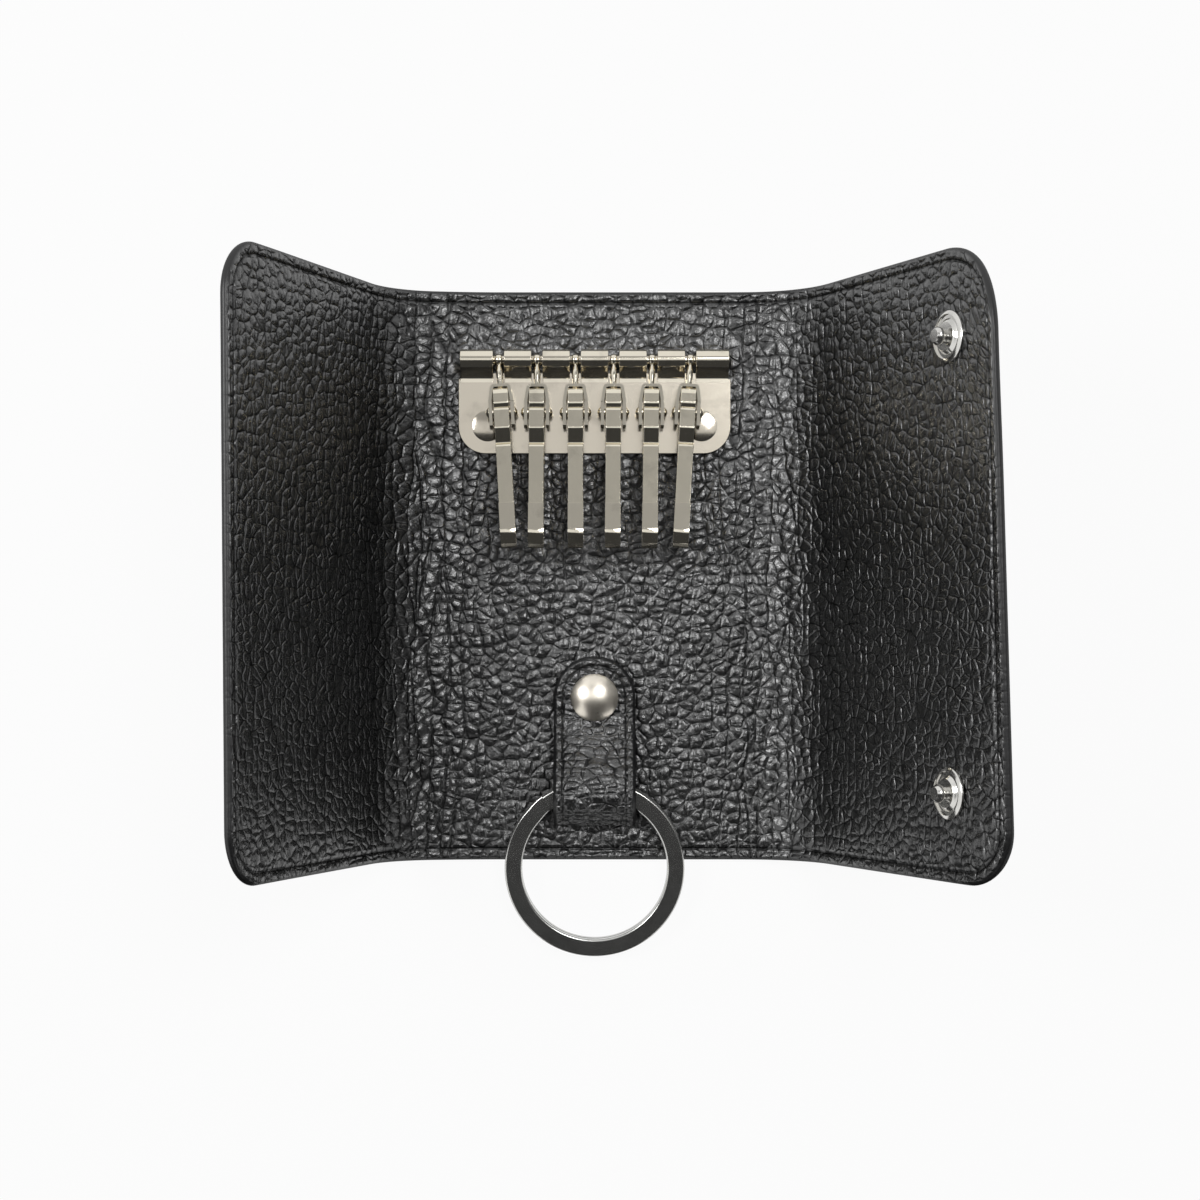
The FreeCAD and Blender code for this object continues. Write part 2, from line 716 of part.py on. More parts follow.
def build_sockets():
    """Two snap sockets on the left wing's outer face, each with a spring ring and a post under the shell."""
    floor = socket_floor
    chamber = socket_spring_radius + 2 * socket_spring_wire
    lip = socket_height - 2 * socket_spring_wire
    cup = turned([
        (socket_post_radius + rivet_hole_clearance, 0),
        (socket_radius, 0),
        (socket_radius, floor),
        (chamber + socket_wall, 2 * floor),
        (chamber + socket_wall, socket_height - floor),
        (chamber, socket_height),
        (socket_mouth_radius, socket_height),
        (socket_mouth_radius, lip),
        (chamber, lip),
        (chamber, floor),
        (socket_post_radius + rivet_hole_clearance, floor),
    ])
    wire_centre = FreeCAD.Vector(socket_spring_radius, 0, lip - 2 * socket_spring_wire)
    wire = Part.Face(Part.Wire(Part.makeCircle(socket_spring_wire, wire_centre, ALONG_Y)))
    spring = wire.revolve(ORIGIN, ALONG_Z, FULL_TURN - socket_spring_opening)
    tail = shell_thickness - rivet_hole_clearance
    post = turned([
        (0, -tail),
        (rivet_tail_radius, -tail),
        (rivet_tail_radius, rivet_tail_thickness - tail),
        (socket_post_radius, rivet_tail_thickness - tail),
        (socket_post_radius, floor),
        (0, floor),
    ])
    groups = {"snap_sockets": cup, "socket_springs": spring, "socket_posts": post}
    outward = FreeCAD.Rotation(ALONG_X, FULL_TURN / 2)
    for name, shape in groups.items():
        solids = []
        for y in (-stud_y, stud_y):
            face = FreeCAD.Placement(FreeCAD.Vector(socket_along_wing, y, -leather_thickness), outward)
            solids.append(placed(shape, left_wing_place.multiply(face), True))
        save(name, solids)


def main():
    """Build every piece of the key case."""
    os.makedirs("parts", exist_ok=True)
    build_base()
    build_wings()
    build_plate()
    build_hooks()
    build_strap()
    build_ring()
    build_studs()
    build_sockets()


if __name__ == "__main__":
    main()
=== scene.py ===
"""A leather key case that lies open: grained leather, nickel hooks, a split ring on a strap, and snaps."""
import json
import logging
import math
from dataclasses import dataclass, field
from enum import Enum
from typing import Any

import bpy
import numpy as np
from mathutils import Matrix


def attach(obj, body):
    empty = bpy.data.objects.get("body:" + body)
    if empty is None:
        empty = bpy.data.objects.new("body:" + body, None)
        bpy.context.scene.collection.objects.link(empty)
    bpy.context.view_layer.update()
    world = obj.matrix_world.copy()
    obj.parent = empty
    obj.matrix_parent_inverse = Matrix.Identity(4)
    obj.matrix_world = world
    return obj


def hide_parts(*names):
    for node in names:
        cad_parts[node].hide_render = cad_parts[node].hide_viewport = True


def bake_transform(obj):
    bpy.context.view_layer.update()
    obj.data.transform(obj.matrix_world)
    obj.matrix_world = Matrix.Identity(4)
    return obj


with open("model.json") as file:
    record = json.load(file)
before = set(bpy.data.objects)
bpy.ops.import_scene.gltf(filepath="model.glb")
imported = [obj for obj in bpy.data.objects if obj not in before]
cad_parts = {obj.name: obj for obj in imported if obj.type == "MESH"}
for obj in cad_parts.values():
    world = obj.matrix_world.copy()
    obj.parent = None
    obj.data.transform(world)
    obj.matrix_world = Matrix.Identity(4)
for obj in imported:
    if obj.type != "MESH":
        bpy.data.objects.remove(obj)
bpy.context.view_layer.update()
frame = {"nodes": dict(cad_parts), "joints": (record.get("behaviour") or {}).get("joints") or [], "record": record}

JOINTS = {joint["name"]: joint for joint in frame["joints"]}
MM = 0.001
NOISE_MEAN = 0.5
FULL_TURN = 360.0
TINY = 1e-12
LOG = logging.getLogger("key_case")
Colour = tuple[float, float, float, float]
Points = list[tuple[float, float]]
Corner = tuple[float, float, float]


class Shade:
    """A node socket that takes part in Python expressions."""

    def __init__(self, tree: "NodeTree", socket: bpy.types.NodeSocket) -> None:
        """Keep the socket and the tree that new nodes go into."""
        self.tree = tree
        self.socket = socket

    def _math(self, operation: str, first: Any, second: Any) -> "Shade":
        """One Math node on two values."""
        return self.tree.node("ShaderNodeMath", {"operation": operation}, {0: first, 1: second})

    def __add__(self, other: Any) -> "Shade":
        """Sum."""
        return self._math("ADD", self, other)

    def __radd__(self, other: Any) -> "Shade":
        """Sum with a number on the left."""
        return self._math("ADD", other, self)

    def __sub__(self, other: Any) -> "Shade":
        """Difference."""
        return self._math("SUBTRACT", self, other)

    def __rsub__(self, other: Any) -> "Shade":
        """Difference from a number on the left."""
        return self._math("SUBTRACT", other, self)

    def __mul__(self, other: Any) -> "Shade":
        """Product."""
        return self._math("MULTIPLY", self, other)

    def __rmul__(self, other: Any) -> "Shade":
        """Product with a number on the left."""
        return self._math("MULTIPLY", other, self)

    def __pow__(self, other: Any) -> "Shade":
        """Power."""
        return self._math("POWER", self, other)

    def larger(self, other: Any) -> "Shade":
        """The larger of two values."""
        return self._math("MAXIMUM", self, other)

    def rise(self, low: float, high: float) -> "Shade":
        """A smooth step from zero at the low value to one at the high value."""
        inputs = {0: self, 1: low, 2: high}
        return self.tree.node("ShaderNodeMapRange", {"interpolation_type": "SMOOTHSTEP"}, inputs)


class NodeTree:
    """A node tree written in Python: a material's, the world's or a geometry group's."""

    MIX_FIRST, MIX_SECOND, MIX_RESULT = 6, 7, 2

    def __init__(self, tree: bpy.types.NodeTree) -> None:
        """Empty the tree.

        Args:
            tree: The tree that the nodes go into.
        """
        self.nodes = tree.nodes
        self.links = tree.links
        self.nodes.clear()

    @classmethod
    def of(cls, owner: bpy.types.Material | bpy.types.World) -> "NodeTree":
        """The emptied tree of a material or of the world."""
        owner.use_nodes = True
        return cls(owner.node_tree)

    def node(
        self,
        kind: str,
        settings: dict[str, Any] | None = None,
        inputs: dict[str | int, Any] | None = None,
        output: str | int = 0,
    ) -> Shade:
        """Add one node.

        Args:
            kind: The node's type.
            settings: The node's own settings, set first.
            inputs: Socket names or numbers with a value or a Shade each.
            output: The output socket to return.

        Returns:
            The chosen output, or the first input of a node that has no outputs.
        """
        made = self.nodes.new(kind)
        for name, value in (settings or {}).items():
            setattr(made, name, value)
        for name, value in (inputs or {}).items():
            socket = made.inputs[name]
            if isinstance(value, Shade):
                self.links.new(value.socket, socket)
            else:
                socket.default_value = value
        return Shade(self, made.outputs[output] if len(made.outputs) else made.inputs[0])

    def attribute(self, name: str, output: str) -> Shade:
        """A value or vector that a mesh carries."""
        return self.node("ShaderNodeAttribute", {"attribute_name": name}, {}, output)

    def mix_colour(self, factor: Any, first: Any, second: Any) -> Shade:
        """A colour between two, by a factor."""
        inputs = {0: factor, self.MIX_FIRST: first, self.MIX_SECOND: second}
        return self.node("ShaderNodeMix", {"data_type": "RGBA"}, inputs, self.MIX_RESULT)

    def noise(self, place: Shade, wave: float, detail: float, output: int = 0) -> Shade:
        """Soft noise over a place.

        Args:
            place: The place, in metres.
            wave: The size of the noise's lumps, in millimetres.
            detail: How many finer layers it has.
            output: Zero for a value, one for a colour.

        Returns:
            The noise.
        """
        inputs = {"Vector": place, "Scale": 1 / (wave * MM), "Detail": detail}
        return self.node("ShaderNodeTexNoise", {}, inputs, output)

    def vector(self, operation: str, first: Any, second: Any) -> Shade:
        """One Vector Math node on two vectors."""
        return self.node("ShaderNodeVectorMath", {"operation": operation}, {0: first, 1: second})

    def bump(self, height: Shade, strength: float, distance: float) -> Shade:
        """A normal raised by a height."""
        inputs = {"Height": height, "Strength": strength, "Distance": distance}
        return self.node("ShaderNodeBump", {}, inputs)


def grey(level: float) -> Colour:
    """A grey of one level, as a colour with alpha."""
    return (level, level, level, 1.0)


def placed(name: str, data: bpy.types.ID) -> bpy.types.Object:
    """Make an object and link it to the scene.

    Args:
        name: The object's name.
        data: Its mesh, light or camera.

    Returns:
        The new object.
    """
    made = bpy.data.objects.new(name, data)
    bpy.context.scene.collection.objects.link(made)
    return made


def dress(piece: bpy.types.Object, material: bpy.types.Material) -> None:
    """Give a piece its material and its slot, and report it.

    Args:
        piece: The piece.
        material: What it is made of.
    """
    piece.data.materials.append(material)
    LOG.info("%s: %d faces", piece.name, len(piece.data.polygons))


@dataclass(frozen=True)
class PebbleGrain:
    """Pebble grain over the leather's flat lengths: a net of creases, long folds and small splits.

    Sizes are in millimetres. A crease's width is a share of a cell, wider on the mesh than in the finish.
    Depths and falls are shares of the grain's height. Creases are deeper and folds shallower in patches,
    and folds are deeper where the leather is pulled.
    """

    cell: tuple[float, float]
    depth: float
    start: float
    pulls: tuple[tuple[float, float], ...] = ()
    long_cell: tuple[float, float] = (2.9, 18.0)
    split_shares: tuple[float, float] = (0.55, 0.5)
    crease_depth: float = 1.0
    crease_share: float = 0.16
    mesh_crease_share: float = 0.30
    fold_share: float = 0.8
    drifts: tuple[tuple[float, float], ...] = ((7.0, 1.6), (1.9, 0.7))
    drift_detail: float = 1.0
    patch_wave: float = 4.0
    patch_detail: float = 2.0
    patch_rise: tuple[float, float] = (0.35, 0.62)
    wall_depths: tuple[float, float] = (0.30, 0.40)
    fold_depths: tuple[float, float, float] = (0.50, 0.25, 0.35)
    dome_fall: float = 0.42
    lump_fall: float = 0.34

    def _net(self, tree: NodeTree, place: Shade, cell: tuple[float, float], feature: str) -> Shade:
        """A net of cells.

        Args:
            tree: The tree that the nodes go into.
            place: The place on the leather, in metres.
            cell: The cells' width and height in millimetres.
            feature: What to measure, in cells: the way to the nearest crease or to the cell's middle.

        Returns:
            The measure.
        """
        scaled = tree.vector("MULTIPLY", place, (1 / (cell[0] * MM), 1 / (cell[1] * MM), 0.0))
        settings = {"feature": feature, "voronoi_dimensions": "2D"}
        return tree.node("ShaderNodeTexVoronoi", settings, {"Vector": scaled, "Scale": 1.0})

    def _pull(self, tree: NodeTree, flat: Shade) -> Shade | float:
        """How much the leather is pulled into long creases, most at each of the case's folds.

        Args:
            tree: The tree that the nodes go into.
            flat: The flat place on the leather, in metres.

        Returns:
            The pull, from zero to one.
        """
        along = tree.node("ShaderNodeSeparateXYZ", {}, {0: flat})
        most: Shade | float = 0.0
        for middle, reach in self.pulls:
            low, top, high = ((self.start + middle + way * reach) * MM for way in (-1, 0, 1))
            most = most + along.rise(low, top) * (1.0 - along.rise(top, high))
        return most

    def height(self, tree: NodeTree, flat: Shade, crease: float) -> Shade:
        """How high the grain stands, from zero in a crease to one on a pebble.

        Args:
            tree: The tree that the nodes go into.
            flat: The flat place on the leather, in metres.
            crease: The width of a crease, as a share of a cell.

        Returns:
            The height.
        """
        flat = tree.vector("ADD", flat, (self.start * MM, self.start * MM, 0.0))
        place = flat
        for wave, reach in self.drifts:
            drift = tree.vector("SUBTRACT", tree.noise(flat, wave, self.drift_detail, 1), (NOISE_MEAN,) * 3)
            place = tree.vector("ADD", place, tree.vector("MULTIPLY", drift, (reach * MM, reach * MM, 0.0)))
        wall = self._net(tree, place, self.cell, "DISTANCE_TO_EDGE").rise(0.0, crease)
        middle = self._net(tree, place, self.cell, "F1")
        split_cell = tuple(size * share for size, share in zip(self.cell, self.split_shares))
        split = self._net(tree, place, split_cell, "F1")
        fold = self._net(tree, place, self.long_cell, "DISTANCE_TO_EDGE")
        fold = fold.rise(0.0, self.fold_share * crease)
        patches = tree.noise(flat, self.patch_wave, self.patch_detail).rise(*self.patch_rise)
        plain, patched = self.wall_depths
        wall = 1.0 - (1.0 - wall) * (plain + patched * patches) * self.crease_depth
        plain, patched, pulled = self.fold_depths
        reach = plain - patched * patches + pulled * self._pull(tree, flat)
        fold = 1.0 - (1.0 - fold) * reach * self.crease_depth
        dome = (1.0 - self.dome_fall * (middle ** 2.0)).larger(0.0)
        lump = (1.0 - self.lump_fall * (split ** 2.0)).larger(0.0)
        return wall * fold * dome * lump

    def measured(self, flat: np.ndarray) -> np.ndarray:
        """The grain's height at flat places, worked out by the same nodes as in the finish.

        Args:
            flat: The places in millimetres, one row each.

        Returns:
            One height for each place.
        """
        group = bpy.data.node_groups.new("grain_heights", "GeometryNodeTree")
        for way in ("INPUT", "OUTPUT"):
            group.interface.new_socket("Geometry", in_out=way, socket_type="NodeSocketGeometry")
        tree = NodeTree(group)
        height = self.height(tree, tree.node("GeometryNodeInputPosition"), self.mesh_crease_share)
        kept = {"Geometry": tree.node("NodeGroupInput"), "Name": "grain", "Value": height}
        kind = {"data_type": "FLOAT", "domain": "POINT"}
        stored = tree.node("GeometryNodeStoreNamedAttribute", kind, kept)
        tree.node("NodeGroupOutput", {}, {0: stored})
        cloud = bpy.data.meshes.new("grain_places")
        cloud.vertices.add(len(flat))
        cloud.vertices.foreach_set("co", np.column_stack((flat * MM, np.zeros(len(flat)))).ravel())
        holder = placed("grain_places", cloud)
        holder.modifiers.new("grain", "NODES").node_group = group
        made = holder.evaluated_get(bpy.context.evaluated_depsgraph_get()).data
        values = np.empty(len(flat), np.float32)
        made.attributes["grain"].data.foreach_get("value", values)
        bpy.data.objects.remove(holder)
        bpy.data.meshes.remove(cloud)
        bpy.data.node_groups.remove(group)
        return values


@dataclass(frozen=True)
class LeatherFinish:
    """Black pebble grain leather with smooth painted edges, and painted shade that darkens its creases.

    Waves are in millimetres. Rises are pairs of values between which an effect sets in.
    """

    slot: str
    grain: PebbleGrain
    # The crease colour is painted shade: the colour grows darker where the grain sinks into a crease.
    crease: Colour = (0.0012, 0.0012, 0.0013, 1.0)
    pebble: Colour = (0.0040, 0.0042, 0.0041, 1.0)
    rubbed: Colour = (0.010, 0.0104, 0.0101, 1.0)
    paint: Colour = (0.016, 0.016, 0.017, 1.0)
    pebble_roughness: float = 0.27
    crease_roughness: float = 0.34
    paint_roughness: float = 0.38
    fine_roughness: float = 0.1
    sheen: float = 0.7
    ior: float = 1.75
    groove_smooth: float = 0.7
    cloud_wave: float = 16.0
    fine_wave: float = 0.8
    noise_detail: float = 3.0
    rub_power: float = 3.0
    rub_clouds: tuple[float, float] = (0.38, 0.72)
    rub_fine: tuple[float, float] = (0.35, 0.7)
    fine_height: float = 0.55
    painted_height: float = 0.1
    # Where and how strongly a dark diffuse is mixed into the creases as painted shade.
    crease_shade_rise: tuple[float, float] = (0.1, 0.55)
    crease_shade_share: float = 0.8
    paint_matt: float = 0.55

    def material(self) -> bpy.types.Material:
        """Make the material. It reads the flat place and the paint's cover from the leather's mesh.

        Returns:
            The new material.
        """
        made = bpy.data.materials.new(self.slot)
        tree = NodeTree.of(made)
        flat = tree.attribute("flat", "Vector")
        cover = tree.attribute("paint", "Fac")
        groove = tree.attribute("groove", "Fac")
        bare = 1.0 - cover
        grain = self.grain.height(tree, flat, self.grain.crease_share) * (1.0 - self.groove_smooth * groove)
        clouds = tree.noise(flat, self.cloud_wave, self.noise_detail)
        fine = tree.noise(flat, self.fine_wave, self.noise_detail)
        rub = (grain ** self.rub_power) * clouds.rise(*self.rub_clouds) * fine.rise(*self.rub_fine)
        # Painted shade: the colour darkens from each pebble's top down into its creases.
        skin = tree.mix_colour(grain, self.crease, self.pebble)
        skin = tree.mix_colour(rub, skin, self.rubbed)
        skin_roughness = self.crease_roughness - grain * (self.crease_roughness - self.pebble_roughness)
        skin_roughness = skin_roughness + (fine - NOISE_MEAN) * self.fine_roughness
        bare_height = self.painted_height + (1.0 - self.painted_height) * bare
        height = (grain + fine * self.fine_height) * bare_height
        shader = tree.node(
            "ShaderNodeBsdfPrincipled",
            {},
            {
                "Base Color": tree.mix_colour(cover, skin, self.paint),
                "Roughness": skin_roughness * bare + cover * self.paint_roughness,
                "IOR": self.ior,
                "Specular IOR Level": self.sheen,
                "Normal": tree.bump(height, 1.0, self.grain.depth * MM),
            },
        )
        # A dark diffuse mixed in as painted shade in the creases; on the painted rim it also dulls the edge paint.
        shade_and_matt_diffuse = tree.node("ShaderNodeBsdfDiffuse", {}, {"Color": self.crease})
        depth = (1.0 - grain.rise(*self.crease_shade_rise)) * bare * self.crease_shade_share + cover * self.paint_matt
        shader = tree.node("ShaderNodeMixShader", {}, {0: depth, 1: shader, 2: shade_and_matt_diffuse})
        tree.node("ShaderNodeOutputMaterial", {}, {"Surface": shader})
        return made


class Brush(Enum):
    """Which way a metal's fine lines run: the scale of the noise along X, Y and Z."""

    ALONG = (2600.0, 120.0, 2600.0)
    ACROSS = (120.0, 2600.0, 2600.0)
    NONE = (420.0, 420.0, 420.0)


@dataclass(frozen=True)
class NickelFinish:
    """Bright nickel plate with faint lines and finger marks."""

    slot: str
    colour: Colour
    roughness: float
    brush: Brush = Brush.NONE
    edge: float = 0.07
    dull_share: float = 0.72
    mark_wave: float = 6.0
    mark_detail: float = 4.0
    mark_rise: tuple[float, float] = (0.5, 0.8)
    mark_roughness: float = 0.10
    line_wave: float = 1000.0
    line_detail: float = 2.0
    line_roughness: float = 0.08
    line_strength: float = 0.3
    line_depth: float = 0.000006
    least_roughness: float = 0.05

    def material(self) -> bpy.types.Material:
        """Make the material.

        Returns:
            The new material.
        """
        made = bpy.data.materials.new(self.slot)
        tree = NodeTree.of(made)
        place = tree.node("ShaderNodeTexCoord", {}, {}, "Object")
        marks = tree.noise(place, self.mark_wave, self.mark_detail)
        drawn = tree.vector("MULTIPLY", place, self.brush.value)
        lines = tree.noise(drawn, self.line_wave, self.line_detail)
        dull = tuple(self.dull_share * part for part in self.colour[:3]) + (1.0,)
        roughness = (marks - NOISE_MEAN) * self.mark_roughness + (lines - NOISE_MEAN) * self.line_roughness
        roughness = roughness + self.roughness
        shader = tree.node(
            "ShaderNodeBsdfPrincipled",
            {},
            {
                "Base Color": tree.mix_colour(marks.rise(*self.mark_rise), self.colour, dull),
                "Metallic": 1.0,
                "Roughness": roughness.larger(self.least_roughness),
                "Normal": tree.bump(lines, self.line_strength, self.line_depth),
            },
        )
        tree.node("ShaderNodeOutputMaterial", {}, {"Surface": shader})
        return made


def smooth(low: float, high: float, value: np.ndarray) -> np.ndarray:
    """A smooth step from zero at the low value to one at the high value."""
    share = np.clip((value - low) / (high - low), 0.0, 1.0)
    return share * share * (3.0 - 2.0 * share)


@dataclass
class BentPath:
    """A line of straight runs and round bends, measured along its length."""

    points: Points
    bends: list[float]
    runs: list[tuple[float, float, np.ndarray, np.ndarray, float]] = field(default_factory=list)
    length: float = 0.0

    def __post_init__(self) -> None:
        """Lay the runs and bends end to end.

        Each has a start, a length, a place, a direction and a curve.
        """
        corners = [np.array(point, float) for point in self.points]
        ways = [(b - a) / np.linalg.norm(b - a) for a, b in zip(corners, corners[1:])]
        place = corners[0]
        for n, way in enumerate(ways):
            turn = reach = 0.0
            if n < len(self.bends):
                after = ways[n + 1]
                turn = math.atan2(way[0] * after[1] - way[1] * after[0], float(way @ after))
                reach = self.bends[n] * math.tan(abs(turn) / 2)
            straight = float((corners[n + 1] - place) @ way) - reach
            self._add(straight, place, way, 0.0)
            place = place + way * straight
            if turn:
                self._add(self.bends[n] * abs(turn), place, way, math.copysign(1 / self.bends[n], turn))
                place = corners[n + 1] + ways[n + 1] * reach

    def _add(self, length: float, place: np.ndarray, way: np.ndarray, curve: float) -> None:
        """Add one run or bend."""
        self.runs.append((self.length, length, place, way, curve))
        self.length += length

    def at(self, s: np.ndarray) -> tuple[np.ndarray, np.ndarray]:
        """Places on the line and the direction to its left.

        Args:
            s: Lengths from the line's start.

        Returns:
            The places and the left directions, one row each.
        """
        places = np.zeros((len(s), 2))
        lefts = np.zeros((len(s), 2))
        starts = [run[0] for run in self.runs]
        number = np.clip(np.searchsorted(starts, s, side="right") - 1, 0, len(starts) - 1)
        for n, (start, _, place, way, curve) in enumerate(self.runs):
            here = number == n
            along = s[here] - start
            left = np.array((-way[1], way[0]))
            angle = along * curve
            ahead, aside = along, 0 * along
            if curve:
                ahead, aside = np.sin(angle) / curve, (1 - np.cos(angle)) / curve
            places[here] = place + np.outer(ahead, way) + np.outer(aside, left)
            lefts[here] = np.outer(np.cos(angle), left) - np.outer(np.sin(angle), way)
        return places, lefts


class Face(Enum):
    """The two faces of a sheet of leather: the side of the path that each is on."""

    UPPER = 1
    LOWER = -1


@dataclass
class SheetMesh:
    """The arrays of one face of a sheet. The rim's outermost vertices come last."""

    flat: np.ndarray
    drop: np.ndarray
    groove: np.ndarray
    paint: np.ndarray
    quads: np.ndarray
    rim_count: int


@dataclass
class Sheet:
    """A sheet of leather cut with round corners, creased along its edges, with a rounded painted rim."""

    length: float
    half_width: float
    corner: float
    step: float
    rim_depth: float
    grain: PebbleGrain
    crease_from_edge: float = 2.1
    crease_width: float = 0.30
    crease_depth: float = 0.22
    rim_width: float = 0.9
    inset: float = 2.8
    squeeze_reach: float = 4.0
    paint_reach: tuple[float, float] = (0.25, 0.75)
    grain_reach: tuple[float, float] = (0.3, 1.1)
    least_corner_steps: int = 6
    border_steps: tuple[float, ...] = (0.35, 0.52, 0.7, 0.88, 1.05, 1.35, 1.6)
    rim_turns: tuple[float, ...] = (0.0, 14.0, 28.0, 42.0, 55.0, 67.0, 79.0, 90.0)

    def edge_distance(self, flat: np.ndarray) -> np.ndarray:
        """How far each flat place is inside the cut edge.

        Args:
            flat: The places, one row each.

        Returns:
            One distance for each place.
        """
        out_s = np.abs(flat[:, 0] - self.length / 2) - (self.length / 2 - self.corner)
        out_y = np.abs(flat[:, 1]) - (self.half_width - self.corner)
        outside = np.hypot(np.maximum(out_s, 0.0), np.maximum(out_y, 0.0))
        return self.corner - outside - np.minimum(np.maximum(out_s, out_y), 0.0)

    def _grid(self) -> tuple[np.ndarray, np.ndarray]:
        """The flat places of the middle, inside the creased border.

        Returns:
            The places along and across the sheet, row by row.
        """
        corner = self.corner - self.inset
        half = self.half_width - self.inset
        corner_steps = max(self.least_corner_steps, int(corner * math.pi / 2 / self.step))
        turns = np.linspace(0.0, math.pi / 2, corner_steps)
        border = half - corner * (1 - np.cos(turns))
        inner = max(0.0, half - corner)
        middle = np.linspace(inner, -inner, max(2, int(2 * inner / self.step) + 1))
        rows = np.concatenate((border, middle[1:-1], -border[::-1]))[::-1]
        columns = np.linspace(self.inset, self.length - self.inset, int(self.length / self.step))
        past = np.maximum(np.abs(rows) - inner, 0.0)
        retreat = corner - np.sqrt(np.maximum(corner ** 2 - past ** 2, 0.0))
        zone = corner + self.squeeze_reach
        s, y = np.meshgrid(columns, rows)
        squeeze = (zone - retreat[:, None]) / zone
        left = self.inset + zone
        right = self.length - left
        s = np.where(s < left, left - (left - s) * squeeze, s)
        s = np.where(s > right, right + (s - right) * squeeze, s)
        return s, y

    def _outward(self, flat: np.ndarray) -> np.ndarray:
        """The direction straight out of the cut edge.

        Args:
            flat: Places on the middle's border, one row each.

        Returns:
            One unit direction for each place.
        """
        off = np.column_stack((flat[:, 0] - self.length / 2, flat[:, 1]))
        reach = np.array((self.length / 2 - self.corner, self.half_width - self.corner))
        ways = np.sign(off) * np.maximum(np.abs(off) - reach, 0.0)
        return ways / np.linalg.norm(ways, axis=1)[:, None]

    def mesh(self) -> SheetMesh:
        """Build one face, flat: the middle, the creased border and the rim.

        Returns:
            The face's arrays. The drop is how far each place lies under the leather's face.
        """
        s, y = self._grid()
        rows, columns = s.shape
        number = np.arange(rows * columns).reshape(rows, columns)
        square = (number[:-1, :-1], number[:-1, 1:], number[1:, 1:], number[1:, :-1])
        quads = [np.stack(square, -1).reshape(-1, 4)]
        ring = np.concatenate((number[0, :-1], number[:-1, -1], number[-1, :0:-1], number[:0:-1, 0]))
        flat = np.stack((s.ravel(), y.ravel()), 1)
        start, ways = flat[ring], self._outward(flat[ring])
        steps = [out for out in self.border_steps if out < self.inset - self.rim_width]
        turns = np.radians(self.rim_turns)
        outs = steps + [self.inset - self.rim_width * (1 - math.sin(turn)) for turn in turns]
        falls = [0.0] * len(steps) + [self.rim_depth * (1 - math.cos(turn)) for turn in turns]
        places, drops, inner = [flat], [np.zeros(len(flat))], ring
        for out, fall in zip(outs, falls):
            outer = np.arange(len(ring)) + sum(map(len, places))
            places.append(start + ways * out)
            drops.append(np.full(len(ring), fall))
            quads.append(np.stack((outer, np.roll(outer, -1), np.roll(inner, -1), inner), 1))
            inner = outer
        flat = np.concatenate(places)
        edge = self.edge_distance(flat)
        paint = 1.0 - smooth(*self.paint_reach, edge)
        groove = np.exp(-((edge - self.crease_from_edge) / self.crease_width) ** 2)
        grained = (1 - paint) * smooth(*self.grain_reach, edge)
        sunk = self.grain.depth * (1 - self.grain.measured(flat)) * grained
        drop = np.concatenate(drops) + sunk + self.crease_depth * groove
        return SheetMesh(flat, drop, groove, paint, np.concatenate(quads), len(ring))


def vertex_normals(places: np.ndarray, quads: np.ndarray) -> np.ndarray:
    """Smooth normals of a mesh of quads.

    Args:
        places: The vertices.
        quads: Four vertex numbers for each face.

    Returns:
        One unit normal for each vertex.
    """
    first, second, third, fourth = (places[corners] for corners in quads.T)
    across = np.cross(third - first, fourth - second)
    normals = np.zeros_like(places)
    for corners in quads.T:
        np.add.at(normals, corners, across)
    return normals / np.maximum(np.linalg.norm(normals, axis=1), TINY)[:, None]


def leather_object(
    name: str, sheet: SheetMesh, places: np.ndarray, normals: np.ndarray, chosen: np.ndarray
) -> bpy.types.Object:
    """Make an object from the chosen faces of a sheet.

    Args:
        name: The object's name.
        sheet: The sheet's flat arrays.
        places: The vertices in space, in millimetres.
        normals: One normal for each vertex, shared by neighbouring objects along a seam.
        chosen: Which of the sheet's faces to take.

    Returns:
        The new object, linked to the scene.
    """
    used, numbers = np.unique(sheet.quads[chosen], return_inverse=True)
    mesh = bpy.data.meshes.new(name)
    mesh.from_pydata((places[used] * MM).tolist(), [], numbers.reshape(-1, 4).tolist())
    mesh.shade_smooth()
    for title, values in (("groove", sheet.groove), ("paint", sheet.paint)):
        layer = mesh.attributes.new(title, "FLOAT", "POINT")
        layer.data.foreach_set("value", values[used].astype(np.float32))
    flat = np.column_stack((sheet.flat[used] * MM, np.zeros(len(used)))).astype(np.float32)
    mesh.attributes.new("flat", "FLOAT_VECTOR", "POINT").data.foreach_set("vector", flat.ravel())
    mesh.normals_split_custom_set_from_vertices(normals[used].tolist())
    return placed(name, mesh)


